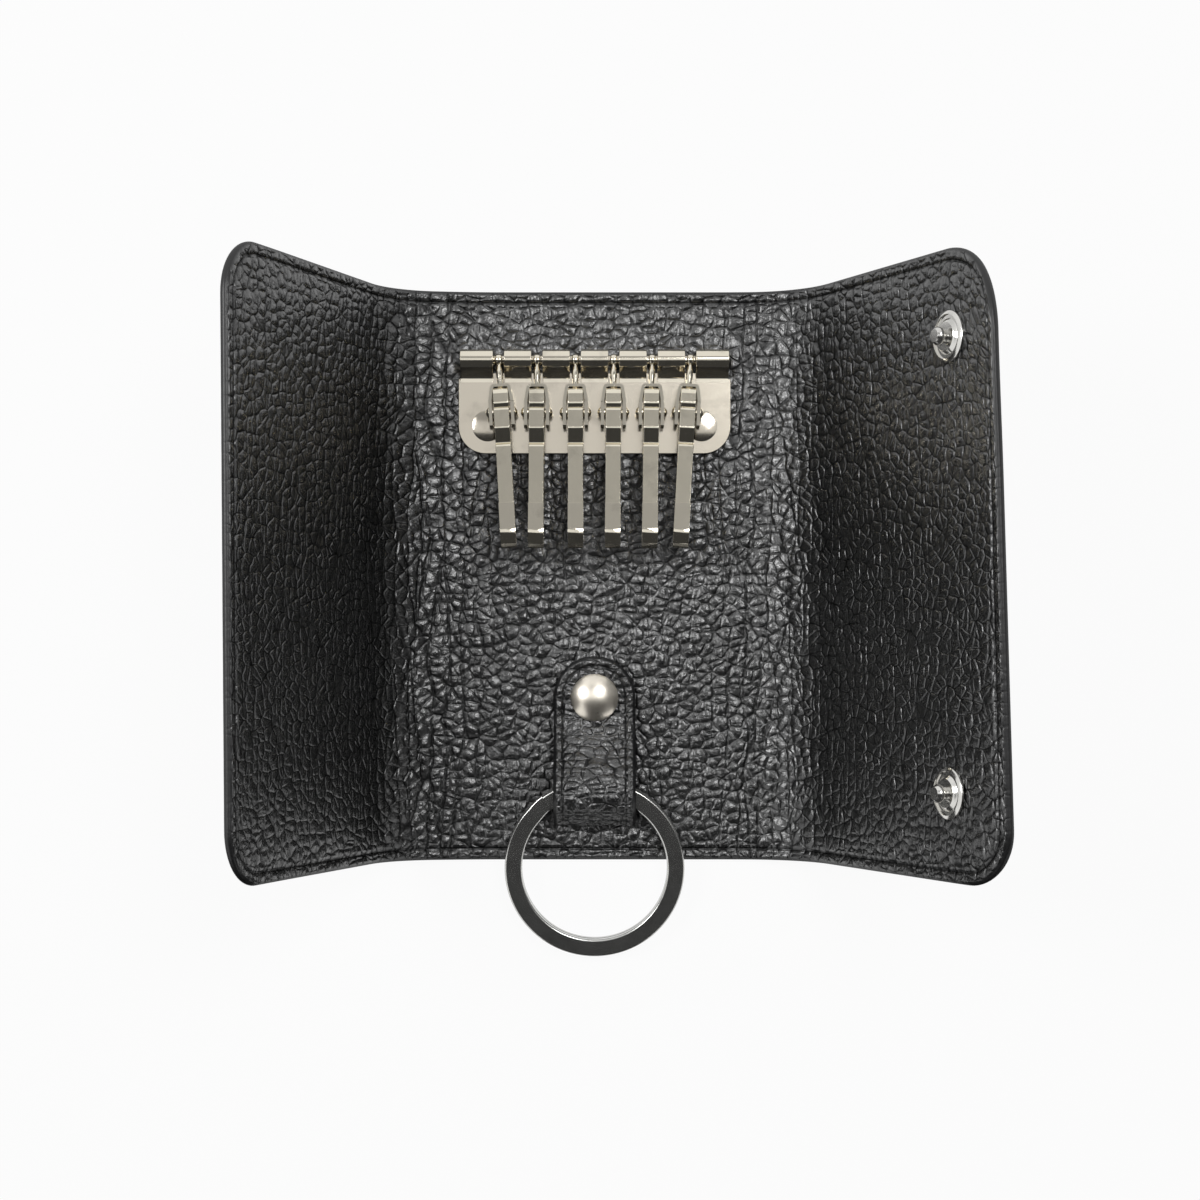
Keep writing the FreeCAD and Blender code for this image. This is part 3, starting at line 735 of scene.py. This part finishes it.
@dataclass
class CaseSide:
    """One side of the case's section at rest: where the base ends, the fold's chord, and the wing.

    Sizes are in millimetres and angles in degrees. The base lifts a little before it reaches the fold.
    """

    base_reach: float
    spine_width: float
    wing_width: float
    wing_angle: float
    edge_lean: float
    lean_reach: float
    lift_angle: float
    lift_from: float
    fold_bend: float
    lift_bend: float = 60.0

    def corners(self, floor: float) -> Points:
        """The corner where the base lifts, the fold's corner and the wing's edge, on the inner face.

        Args:
            floor: The height of the base's inner face.

        Returns:
            The three points, from the base outwards.
        """
        climb, lift = math.radians(self.wing_angle), math.radians(self.lift_angle)
        reach = self.spine_width / (2 * math.cos(climb / 2))
        foot = self.base_reach + reach
        out = reach + self.wing_width
        up = (foot - self.lift_from) / (1 / math.tan(lift) - 1 / math.tan(climb))
        edge = (foot + out * math.cos(climb), floor + out * math.sin(climb))
        return [(self.lift_from, floor), (foot + up / math.tan(climb), floor + up), edge]

    def lean(self, from_edge: np.ndarray, height_share: np.ndarray) -> np.ndarray:
        """How far the wing's edge leans in. The height's share runs from minus one at the bottom to one."""
        return self.edge_lean * np.clip(1 - from_edge / self.lean_reach, 0.0, 1.0) ** 2 * height_share


@dataclass
class CaseLeather:
    """The case's leather: a lining and a shell, each one sheet across base, folds and wings.

    Each fold has an inner piece over its whole round length, by its spine, and an outer piece over a short
    root of the wing by the wing's joint.
    """

    left: CaseSide
    right: CaseSide
    half_height: float = 52.5
    thickness: float = 1.7
    corner: float = 9.5
    right_top_corner: float = 16.0
    corner_blend: tuple[float, float] = (10.0, 43.0)
    wing_root: float = 3.2
    path: BentPath = field(init=False)
    seams: list[float] = field(init=False)

    def __post_init__(self) -> None:
        """Lay the section's path from the left wing's edge to the right wing's, and place the seams."""
        left = [(-x, z) for x, z in self.left.corners(self.thickness)][::-1]
        bends = [self.left.fold_bend, self.left.lift_bend, self.right.lift_bend, self.right.fold_bend]
        self.path = BentPath(left + self.right.corners(self.thickness), bends)
        bent = [run for run in self.path.runs if run[-1]]
        left_joint, right_joint = self.left.wing_width, self.path.length - self.right.wing_width
        self.seams = [left_joint - self.wing_root, left_joint, bent[0][0] + bent[0][1]]
        self.seams += [bent[-1][0], right_joint, right_joint + self.wing_root]

    def _rounder(self, from_edge: np.ndarray, y: np.ndarray) -> np.ndarray:
        """How far the right wing's top corner is drawn down by its larger radius.

        Args:
            from_edge: How far each place is from the wing's edge.
            y: Each place along the case's height.

        Returns:
            One fall for each place.
        """
        drops = []
        for radius in (self.right_top_corner, self.corner):
            into = np.clip(radius - from_edge, 0.0, radius)
            drops.append(radius - np.sqrt(radius ** 2 - into ** 2))
        return (drops[0] - drops[1]) * smooth(*self.corner_blend, y)

    def place(self, sheet: SheetMesh, face: Face) -> np.ndarray:
        """Bend a flat face into the case's shape.

        Args:
            sheet: The flat face.
            face: Which face of the leather it is.

        Returns:
            The vertices in millimetres.
        """
        s, y = sheet.flat.T
        along, left = self.path.at(s)
        lift = -sheet.drop if face is Face.UPPER else sheet.drop - self.thickness
        lift = lift + self.left.lean(s, y / self.half_height)
        lift = lift + self.right.lean(self.path.length - s, y / self.half_height)
        bent = along + left * lift[:, None]
        return np.column_stack((bent[:, 0], y - self._rounder(self.path.length - s, y), bent[:, 1]))

    def build(self, face: Face, layer: str, finish: LeatherFinish, step: float) -> None:
        """Make one layer's pieces and fix each to its body.

        Args:
            face: Which face of the leather the layer shows.
            layer: The layer's name.
            finish: The leather's finish.
            step: The size of the mesh's squares.
        """
        cut = Sheet(self.path.length, self.half_height, self.corner, step, self.thickness / 2, finish.grain)
        sheet = cut.mesh()
        if face is Face.LOWER:
            sheet.quads = sheet.quads[:, ::-1]
        places = self.place(sheet, face)
        normals = vertex_normals(places, sheet.quads)
        part = np.digitize(sheet.flat[sheet.quads, 0].mean(1), self.seams)
        names = ["left_wing", "left_outer_fold", "left_inner_fold", "base"]
        names += ["right_inner_fold", "right_outer_fold", "right_wing"]
        material = finish.material()
        for n, name in enumerate(names):
            piece = leather_object(name + "_" + layer + "_leather", sheet, places, normals, part == n)
            dress(piece, material)
            self._fix(piece, name, layer)

    def _fix(self, piece: bpy.types.Object, name: str, layer: str) -> None:
        """Let a base or wing piece ride on its body and stand for its solid; a fold's piece stays where it lies,
        and an inner fold stands for its spine's solid.

        Args:
            piece: The piece.
            name: Which part of the case it is.
            layer: The layer's name.
        """
        if name in ("base", "left_wing", "right_wing"):
            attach(piece, name)
            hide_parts(name + "_" + layer)
            return
        hand = name.split("_")[0]
        seams = self.seams[2::-1] if hand == "left" else self.seams[3:]
        places, _ = self.path.at(np.array(seams))
        start, middle, end = [(x * MM, 0.0, z * MM) for x, z in places.tolist()]
        if "inner" in name:
            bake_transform(piece)
            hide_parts(hand + "_spine_" + layer)
        else:
            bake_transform(piece)


@dataclass
class RingStrap:
    """The strap: one strip of leather folded round the split ring, with both ends under the dome rivet."""

    width: float = 15.0
    thickness: float = 1.0
    end_y: float = -14.9
    ring_y: float = -40.1
    loop: float = 3.024
    floor: float = 1.7
    layer_gap: float = 0.05
    end_flat: float = 0.05
    step: float = 0.35
    bends: tuple[float, float, float, float] = (1.5, 3.6, 8.0, 16.0)
    loop_shares: tuple[float, float, float, float] = (-2.3, -0.68, 0.8, 3.6)
    crease_from_edge: float = 1.7
    crease_width: float = 0.24
    crease_depth: float = 0.08
    rim_width: float = 0.55
    inset: float = 2.4

    def path(self) -> BentPath:
        """The strap's middle line.

        Returns:
            The line from the strap's lower end round the ring to its upper end.
        """
        half = self.thickness / 2
        low = self.floor + half
        crown = self.floor + self.thickness + 2 * self.loop + half
        upper = low + self.thickness + self.layer_gap
        nose, top, brow, foot = (self.ring_y + share * self.loop for share in self.loop_shares)
        points = [(self.end_y, low), (nose, low), (top, crown), (brow, crown), (foot, upper)]
        return BentPath(points + [(self.end_y, upper)], list(self.bends))

    def build(self, finish: LeatherFinish) -> None:
        """Make the strap's mesh, both faces in one piece, and fix it to the base.

        Args:
            finish: The strap's finish.
        """
        path = self.path()
        cut = Sheet(
            path.length,
            self.width / 2,
            self.width / 2 - self.end_flat,
            self.step,
            self.thickness / 2,
            finish.grain,
            crease_from_edge=self.crease_from_edge,
            crease_width=self.crease_width,
            crease_depth=self.crease_depth,
            rim_width=self.rim_width,
            inset=self.inset,
        )
        sheet = cut.mesh()
        along, left = path.at(sheet.flat[:, 0])
        sides = []
        for face in Face:
            lift = face.value * (self.thickness / 2 - sheet.drop)
            bent = along + left * lift[:, None]
            sides.append(np.column_stack((-sheet.flat[:, 1], bent[:, 0], bent[:, 1])))
        count = len(sheet.flat)
        quads = np.concatenate((sheet.quads, sheet.quads[:, ::-1] + count))
        quads = np.where(quads >= 2 * count - sheet.rim_count, quads - count, quads)
        tiled = [np.tile(values, 2) for values in (sheet.drop, sheet.groove, sheet.paint)]
        both = SheetMesh(np.tile(sheet.flat, (2, 1)), *tiled, quads, sheet.rim_count)
        places = np.concatenate(sides)
        normals = vertex_normals(places, quads)
        piece = leather_object("ring_strap_leather", both, places, normals, np.ones(len(quads), bool))
        dress(piece, finish.material())
        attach(piece, "base")
        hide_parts("ring_strap")


def tube_faces(rings: int, size: int) -> list[list[int]]:
    """The side faces of a tube whose vertices run ring by ring.

    Args:
        rings: How many rings there are.
        size: How many vertices each ring has.

    Returns:
        Four vertex numbers for each face.
    """
    number = np.arange(rings * size).reshape(rings, size)
    after = np.roll(number, -1, axis=1)
    return np.stack((number[:-1], after[:-1], after[1:], number[1:]), -1).reshape(-1, 4).tolist()


@dataclass(frozen=True)
class WireSection:
    """A wire's section: a rectangle with round corners, about its middle."""

    width: float
    height: float
    corner: float
    steps: int = 4

    def outline(self) -> tuple[np.ndarray, np.ndarray]:
        """The section's points and normals, turning from its width to its height.

        Returns:
            The points and the normals, one row each.
        """
        quarter = FULL_TURN / 4
        arcs = [np.linspace(n * quarter, (n + 1) * quarter, self.steps + 1) for n in range(4)]
        turns = np.radians(np.concatenate(arcs))
        normals = np.column_stack((np.cos(turns), np.sin(turns)))
        ways = np.repeat([(1, 1), (-1, 1), (-1, -1), (1, -1)], self.steps + 1, axis=0)
        middles = ways * (np.array((self.width, self.height)) / 2 - self.corner)
        return middles + normals * self.corner, normals

    def swept(
        self, name: str, places: np.ndarray, across: np.ndarray, upward: np.ndarray
    ) -> bpy.types.Object:
        """Carry the section along a line and close both ends.

        Args:
            name: The new object's name.
            places: The line's places in millimetres.
            across: The direction of the section's width at each place.
            upward: The direction of its height. The wire runs along across times upward.

        Returns:
            The new object, linked to the scene.
        """
        points, normals = self.outline()
        count, size = len(places), len(points)
        shape = places[:, None] + across[:, None] * points[:, :1] + upward[:, None] * points[:, 1:]
        facing = across[:, None] * normals[:, :1] + upward[:, None] * normals[:, 1:]
        run = np.cross(across, upward)
        ends = np.concatenate((shape[0], shape[-1]))
        end_facing = np.repeat(np.stack((-run[0], run[-1])), size, axis=0)
        first = count * size
        caps = [list(range(first + size - 1, first - 1, -1)), list(range(first + size, first + 2 * size))]
        mesh = bpy.data.meshes.new(name)
        corners = np.concatenate((shape.reshape(-1, 3), ends)) * MM
        mesh.from_pydata(corners.tolist(), [], tube_faces(count, size) + caps)
        mesh.shade_smooth()
        all_facing = np.concatenate((facing.reshape(-1, 3), end_facing))
        mesh.normals_split_custom_set_from_vertices(all_facing.tolist())
        return placed(name, mesh)


@dataclass
class KnuckleRolls:
    """The plate's rolled knuckles: its sheet climbs, rolls over the hinge bar and goes down behind it.

    The profile is the sheet's middle line, measured down the plate and up from the hinge bar's axis.
    """

    hinge_y: float = 39.6
    hinge_z: float = 3.59
    half_span: float = 24.69
    gap: float = 2.02
    pitch: float = 7.05
    count: int = 7
    thickness: float = 0.30
    corner: float = 0.12
    step: float = 0.12
    profile: tuple[tuple[float, float], ...] = (
        (-1.8, -1.6), (-1.8, 1.8), (0.88, 1.8), (3.1, -1.05), (4.0, -1.05)
    )
    bends: tuple[float, ...] = (1.8, 1.8, 0.5)

    def build(self, finish: NickelFinish) -> None:
        """Make the rolls over the plate's knuckles.

        Args:
            finish: A lighter copy of the plate's finish; the flat plate gets a darker copy as painted shade.
        """
        path = BentPath(list(self.profile), list(self.bends))
        along, left = path.at(np.linspace(0.0, path.length, int(path.length / self.step)))
        gaps = [self.pitch * (n - (self.count - 2) / 2) for n in range(self.count - 1)]
        inner = [x + way * self.gap / 2 for x in gaps for way in (-1, 1)]
        edges = [-self.half_span] + inner + [self.half_span]
        material = finish.material()
        for n, (low, high) in enumerate(zip(edges[::2], edges[1::2]), 1):
            middle = np.full(len(along), (low + high) / 2)
            places = np.column_stack((middle, self.hinge_y - along[:, 0], self.hinge_z + along[:, 1]))
            upward = np.column_stack((0 * middle, -left[:, 0], left[:, 1]))
            across = np.tile((1.0, 0.0, 0.0), (len(along), 1))
            section = WireSection(high - low, self.thickness, self.corner)
            piece = section.swept(f"knuckle_roll_{n}", places, across, upward)
            dress(piece, material)
            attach(piece, "base")


@dataclass
class SwivelPins:
    """The swivel pins: a ball on the hinge bar, a swelling stem, and a head under the yoke's bridge.

    The outline is measured along the stem from the bar's axis, with the pin's radius at each place.
    """

    count: int = 6
    ball: float = 1.12
    ball_steps: int = 14
    ball_start: float = 0.02
    ball_short: float = 0.38
    turn_steps: int = 28
    stem: tuple[tuple[float, float], ...] = (
        (1.15, 0.44), (1.6, 0.58), (2.3, 0.64), (3.2, 0.62), (4.2, 0.50), (4.8, 0.50), (5.5, 0.50),
        (5.55, 0.72), (5.62, 0.78), (5.98, 0.78), (6.05, 0.70), (6.05, 0.01),
    )

    def outline(self) -> np.ndarray:
        """The pin's outline.

        Returns:
            Places along the stem and radii, one row each, from the ball's far end to the head.
        """
        turns = np.linspace(self.ball_start, math.pi - self.ball_short, self.ball_steps)
        round_end = np.column_stack((-self.ball * np.cos(turns), self.ball * np.sin(turns)))
        return np.concatenate((round_end, np.array(self.stem)))

    def build(self, finish: NickelFinish) -> None:
        """Make the pins on the hinge bar.

        Args:
            finish: The pins' finish.
        """
        outline = self.outline()
        turns = np.linspace(0.0, 2 * math.pi, self.turn_steps, endpoint=False)
        size = self.turn_steps
        last = size * (len(outline) - 1)
        caps = [list(range(size - 1, -1, -1)), list(range(last, last + size))]
        material = finish.material()
        for n in range(1, self.count + 1):
            spin = JOINTS[f"hook_{n}_spin"]
            down = np.array(spin["axis"])
            side = np.cross(down, (0.0, 0.0, 1.0))
            side = side / np.linalg.norm(side)
            rim = np.outer(np.cos(turns), side) + np.outer(np.sin(turns), np.cross(down, side))
            centre = np.array(spin["pos_m"]) / MM + np.outer(outline[:, 0], down)
            places = (centre[:, None] + rim * outline[:, 1, None, None]).reshape(-1, 3)
            mesh = bpy.data.meshes.new(f"swivel_stem_{n}")
            mesh.from_pydata((places * MM).tolist(), [], tube_faces(len(outline), size) + caps)
            mesh.shade_smooth()
            piece = placed(mesh.name, mesh)
            dress(piece, material)
            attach(piece, f"swivel_{n}")
            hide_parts(f"swivel_pin_{n}")


@dataclass
class SplitRing:
    """The split ring: two flat coils of one wire, with a short step where the wire climbs between them."""

    outer_radius: float = 16.5
    band: float = 3.2
    height: float = 2.6
    coil_gap: float = 0.06
    corner: float = 0.4
    split_angle: float = 130.0
    step_angle: float = 9.0
    end_gap: float = 3.2
    reach: float = 13.742
    tilt: float = 7.62
    turn_step: float = 1.5

    def build(self, finish: NickelFinish) -> None:
        """Make the ring and hang it in the strap's loop.

        Args:
            finish: The ring's finish.
        """
        start = self.split_angle + self.step_angle
        angles = np.arange(start, self.split_angle + 2 * FULL_TURN - self.end_gap, self.turn_step)
        rise = smooth(self.split_angle + FULL_TURN, start + FULL_TURN, angles)
        coil = (self.height - self.coil_gap) / 2
        heights = (rise - 0.5) * (coil + self.coil_gap)
        turns = np.radians(angles)
        outward = np.column_stack((np.cos(turns), np.sin(turns), np.zeros(len(turns))))
        middle = outward * (self.outer_radius - self.band / 2) + np.outer(heights, (0, 0, 1))
        middle = middle - (0, self.reach, 0)
        lean = math.radians(self.tilt)
        cos, sin = math.cos(lean), math.sin(lean)
        turned = np.array(((1, 0, 0), (0, cos, -sin), (0, sin, cos)))
        places = middle @ turned.T + np.array(JOINTS["ring_swing"]["pos_m"]) / MM
        upward = np.tile(turned @ (0, 0, 1), (len(turns), 1))
        section = WireSection(coil, self.band, self.corner)
        piece = section.swept("split_ring_coils", places, upward, outward @ turned.T)
        dress(piece, finish.material())
        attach(piece, "ring")
        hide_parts("split_ring")


@dataclass
class HookGates:
    """The sprung gates, each with a rolled tail under the yoke's bridge, a hump, a dip and a flat run.

    The profile is measured along the hook and out of it, from the gate's pin.
    """

    count: int = 6
    width: float = 2.8
    thickness: float = 0.45
    corner: float = 0.14
    step: float = 0.15
    profile: tuple[tuple[float, float], ...] = (
        (-4.4, -0.4), (-4.2, 1.45), (-1.4, 1.45), (-0.4, 0.85), (-0.1, 1.60),
        (3.4, 1.55), (6.0, 0.10), (6.7, 1.05), (21.4, 1.05),
    )
    bends: tuple[float, ...] = (1.2, 1.2, 0.2, 0.25, 0.9, 0.3, 0.4)

    def build(self, finish: NickelFinish) -> None:
        """Make the gates on their pins.

        Args:
            finish: The gates' finish.
        """
        path = BentPath(list(self.profile), list(self.bends))
        along, left = path.at(np.linspace(0.0, path.length, int(path.length / self.step)))
        section = WireSection(self.width, self.thickness, self.corner)
        material = finish.material()
        for n in range(1, self.count + 1):
            pin = JOINTS[f"gate_{n}_hinge"]
            across = np.array(pin["axis"])
            down = np.array(JOINTS[f"hook_{n}_spin"]["axis"])
            out = np.cross(down, across)
            places = np.array(pin["pos_m"]) / MM + np.outer(along[:, 0], down) + np.outer(along[:, 1], out)
            upward = np.outer(left[:, 0], down) + np.outer(left[:, 1], out)
            piece = section.swept(f"gate_strip_{n}", places, np.tile(across, (len(places), 1)), upward)
            dress(piece, material)
            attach(piece, f"gate_{n}")
            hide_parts(f"hook_gate_{n}")


@dataclass
class Metalwork:
    """The metal pieces, which keep their solid shapes and get their finishes and softened edges."""

    finishes: list[NickelFinish]
    weld_reach: float = 0.002
    edge_steps: int = 3
    sharp_angle: float = 35.0

    def dress(self) -> None:
        """Give each solid that shows the finish of its material slot."""
        made = {finish.slot: finish.material() for finish in self.finishes}
        edges = {finish.slot: finish.edge for finish in self.finishes}
        slots = {entry["node"]: entry["material_slot"] for entry in frame["record"]["subparts"]}
        for name, node in frame["nodes"].items():
            if slots[name] not in made:
                continue
            node.data.materials.clear()
            node.data.materials.append(made[slots[name]])
            self.soften(node, edges[slots[name]])
            LOG.info("%s: %s", name, slots[name])

    def soften(self, node: bpy.types.Object, edge: float) -> None:
        """Round a solid's sharp edges a little, so that they catch the light.

        Args:
            node: The solid.
            edge: How wide the round edges are, in millimetres.
        """
        weld = node.modifiers.new("weld", "WELD")
        weld.merge_threshold = self.weld_reach * MM
        bevel = node.modifiers.new("soft_edges", "BEVEL")
        bevel.width = edge * MM
        bevel.segments = self.edge_steps
        bevel.limit_method = "ANGLE"
        bevel.angle_limit = math.radians(self.sharp_angle)
        bevel.harden_normals = True


@dataclass(frozen=True)
class Reflector:
    """A board that polished metal mirrors: level above the case, or upright in front of it.

    Its two corners are across from each other, in metres. A level of one is white.
    """

    name: str
    low: Corner
    high: Corner
    level: float


@dataclass(frozen=True)
class SoftBox:
    """A square lamp that faces the case. Its place is in metres and its power in watts."""

    name: str
    place: Corner
    power: float


@dataclass
class Studio:
    """The floor, the boards, the lights and the camera.

    The camera's place is in millimetres, its lens and shift are in pixels, and other sizes are in metres.
    """

    camera_height: float = 421.7
    camera_x: float = 1.0
    camera_y: float = -16.5
    frame_pixels: float = 1200.0
    focal_pixels: float = 2273.0
    shift_pixels: float = 65.0
    floor_size: float = 3.0
    floor_level: float = -0.0003
    floor_grey: float = 0.86
    floor_white: float = 0.94
    room_light: float = 0.12
    lamp_size: float = 0.24
    reflectors: tuple[Reflector, ...] = (
        Reflector("bright_board", (-0.55, -0.07, 0.80), (0.55, 0.22, 0.80), 0.95),
        Reflector("grey_board", (-0.55, 0.22, 0.80), (0.55, 0.60, 0.80), 0.42),
        Reflector("dark_board", (-0.55, -1.20, 0.80), (0.55, -0.07, 0.80), 0.05),
        Reflector("dark_flag", (-0.55, -1.20, 0.0), (0.55, -1.20, 0.80), 0.05),
        Reflector("side_board", (0.55, -1.20, 0.80), (1.50, 1.20, 0.80), 0.15),
        Reflector("dark_apron", (-0.55, -1.20, 0.0), (0.55, -0.085, 0.0), 0.05),
    )
    lamps: tuple[SoftBox, ...] = (
        SoftBox("left_box", (-0.46, 0.16, 0.58), 1.8),
        SoftBox("right_box", (0.20, 0.22, 0.66), 1.5),
    )

    def _white(self, tree: NodeTree) -> Shade:
        """Tell rays that see the background straight, in a mirror or through glass from the others.

        Args:
            tree: The tree that the nodes go into.

        Returns:
            One for those rays and zero for the others.
        """
        rays = ("Is Camera Ray", "Is Glossy Ray", "Is Transmission Ray")
        kinds = [tree.node("ShaderNodeLightPath", {}, {}, ray) for ray in rays]
        return kinds[0].larger(kinds[1]).larger(kinds[2])

    def board(
        self, name: str, corners: list[Corner], material: bpy.types.Material
    ) -> bpy.types.Object:
        """A flat board of the studio.

        Args:
            name: The board's name.
            corners: Its four corners in metres.
            material: What it is made of.

        Returns:
            The new board.
        """
        mesh = bpy.data.meshes.new(name)
        mesh.from_pydata(corners, [], [(0, 1, 2, 3)])
        mesh.materials.append(material)
        made = placed(name, mesh)
        return made

    def floor(self) -> None:
        """A pale floor that shows as near white and keeps a soft shadow."""
        made = bpy.data.materials.new("pale_floor")
        tree = NodeTree.of(made)
        matt = tree.node("ShaderNodeBsdfDiffuse", {}, {"Color": grey(self.floor_grey)})
        bright = tree.node("ShaderNodeEmission", {}, {"Color": grey(1.0), "Strength": 1.0})
        share = self._white(tree) * self.floor_white
        mixed = tree.node("ShaderNodeMixShader", {}, {0: share, 1: matt, 2: bright})
        tree.node("ShaderNodeOutputMaterial", {}, {"Surface": mixed})
        half = self.floor_size / 2
        sides = ((-half, -half), (half, -half), (half, half), (-half, half))
        self.board("floor", [(x, y, self.floor_level) for x, y in sides], made)

    def reflector(self, kind: Reflector) -> None:
        """Make a board that only mirrors see.

        Args:
            kind: Its corners and its brightness.
        """
        glowing = bpy.data.materials.new(kind.name)
        tree = NodeTree.of(glowing)
        glow = tree.node("ShaderNodeEmission", {}, {"Color": grey(kind.level), "Strength": 1.0})
        tree.node("ShaderNodeOutputMaterial", {}, {"Surface": glow})
        (left, near, foot), (right, far, top) = kind.low, kind.high
        corners = [(left, near, foot), (left, far, top), (right, far, top), (right, near, foot)]
        made = self.board(kind.name, corners, glowing)
        made.visible_camera = made.visible_diffuse = made.visible_shadow = False


    def sky(self) -> None:
        """A white surround with a plain level of light."""
        world = bpy.data.worlds.new("white_room")
        bpy.context.scene.world = world
        tree = NodeTree.of(world)
        strength = self._white(tree) * (1.0 - self.room_light) + self.room_light
        shader = tree.node("ShaderNodeBackground", {}, {"Color": grey(1.0), "Strength": strength})
        tree.node("ShaderNodeOutputWorld", {}, {"Surface": shader})

    def lamp(self, kind: SoftBox) -> None:
        """Make a lamp and turn it to the case.

        Args:
            kind: Its place and its power.
        """
        light = bpy.data.lights.new(kind.name, "AREA")
        light.size = self.lamp_size
        light.energy = kind.power
        made = placed(kind.name, light)
        made.location = kind.place
        made.rotation_mode = "QUATERNION"
        made.rotation_quaternion = made.location.to_track_quat("Z", "Y")

    def camera(self) -> None:
        """A camera straight above the base, with the frame moved up a little."""
        data = bpy.data.cameras.new("camera")
        data.lens = data.sensor_width * (self.focal_pixels / self.frame_pixels)
        data.shift_y = self.shift_pixels / self.frame_pixels
        made = placed("camera", data)
        made.location = (self.camera_x * MM, self.camera_y * MM, self.camera_height * MM)
        bpy.context.scene.camera = made

    def build(self) -> None:
        """Set up the whole studio."""
        self.floor()
        for kind in self.reflectors:
            self.reflector(kind)
        self.sky()
        for kind in self.lamps:
            self.lamp(kind)
        self.camera()
        bpy.context.scene.view_settings.view_transform = "Standard"


def main() -> None:
    """Build the studio, the leather and the metalwork in order."""
    logging.basicConfig(level=logging.INFO, format="%(name)s %(message)s")
    Studio().build()
    case = CaseLeather(
        left=CaseSide(
            base_reach=28.2,
            spine_width=13.0,
            wing_width=54.3,
            wing_angle=69.4,
            edge_lean=-0.45,
            lean_reach=20.0,
            lift_angle=8.0,
            lift_from=21.5,
            fold_bend=13.5,
        ),
        right=CaseSide(
            base_reach=26.5,
            spine_width=18.3,
            wing_width=53.3,
            wing_angle=64.8,
            edge_lean=1.95,
            lean_reach=13.3,
            lift_angle=2.0,
            lift_from=24.0,
            fold_bend=16.0,
        ),
    )
    pulls = ((66.0, 12.0), (124.0, 10.0))
    lining_grain = PebbleGrain(cell=(2.3, 1.9), depth=0.24, start=11.0, pulls=pulls)
    shell_grain = PebbleGrain(cell=(2.2, 2.7), depth=0.26, start=480.0)
    strap_grain = PebbleGrain(cell=(1.7, 2.3), depth=0.34, start=910.0, crease_depth=0.8)
    case.build(Face.UPPER, "lining", LeatherFinish("lining_leather", lining_grain), step=0.4)
    case.build(Face.LOWER, "shell", LeatherFinish("shell_leather", shell_grain), step=0.6)
    RingStrap().build(LeatherFinish("strap_leather", strap_grain))
    # The flat plate's copy of plate nickel is darker than the knuckle rolls' copy, though both are one sheet of
    # metal: painted shade on the plate.
    plate_nickel = NickelFinish("plate_nickel", (0.56, 0.515, 0.435, 1.0), 0.16, Brush.ACROSS)
    hook_nickel = NickelFinish("hook_nickel", (0.74, 0.69, 0.58, 1.0), 0.10, Brush.ALONG, edge=0.12)
    # The knuckle rolls get the lighter copy of plate nickel; with the plate's darker copy these are painted light
    # and shade on one metal.
    KnuckleRolls().build(NickelFinish("plate_nickel", (0.74, 0.69, 0.58, 1.0), 0.11, Brush.ACROSS))
    SwivelPins().build(hook_nickel)
    SplitRing().build(NickelFinish("ring_steel", (0.60, 0.60, 0.58, 1.0), 0.20))
    HookGates().build(NickelFinish("gate_nickel", (0.75, 0.70, 0.58, 1.0), 0.12, Brush.ALONG))
    Metalwork([
        plate_nickel,
        hook_nickel,
        NickelFinish("spring_steel", (0.42, 0.42, 0.43, 1.0), 0.34, Brush.ALONG),
        NickelFinish("rivet_nickel", (0.92, 0.86, 0.75, 1.0), 0.30),
        NickelFinish("snap_nickel", (0.70, 0.69, 0.66, 1.0), 0.16),
    ]).dress()


if __name__ == "__main__":
    main()
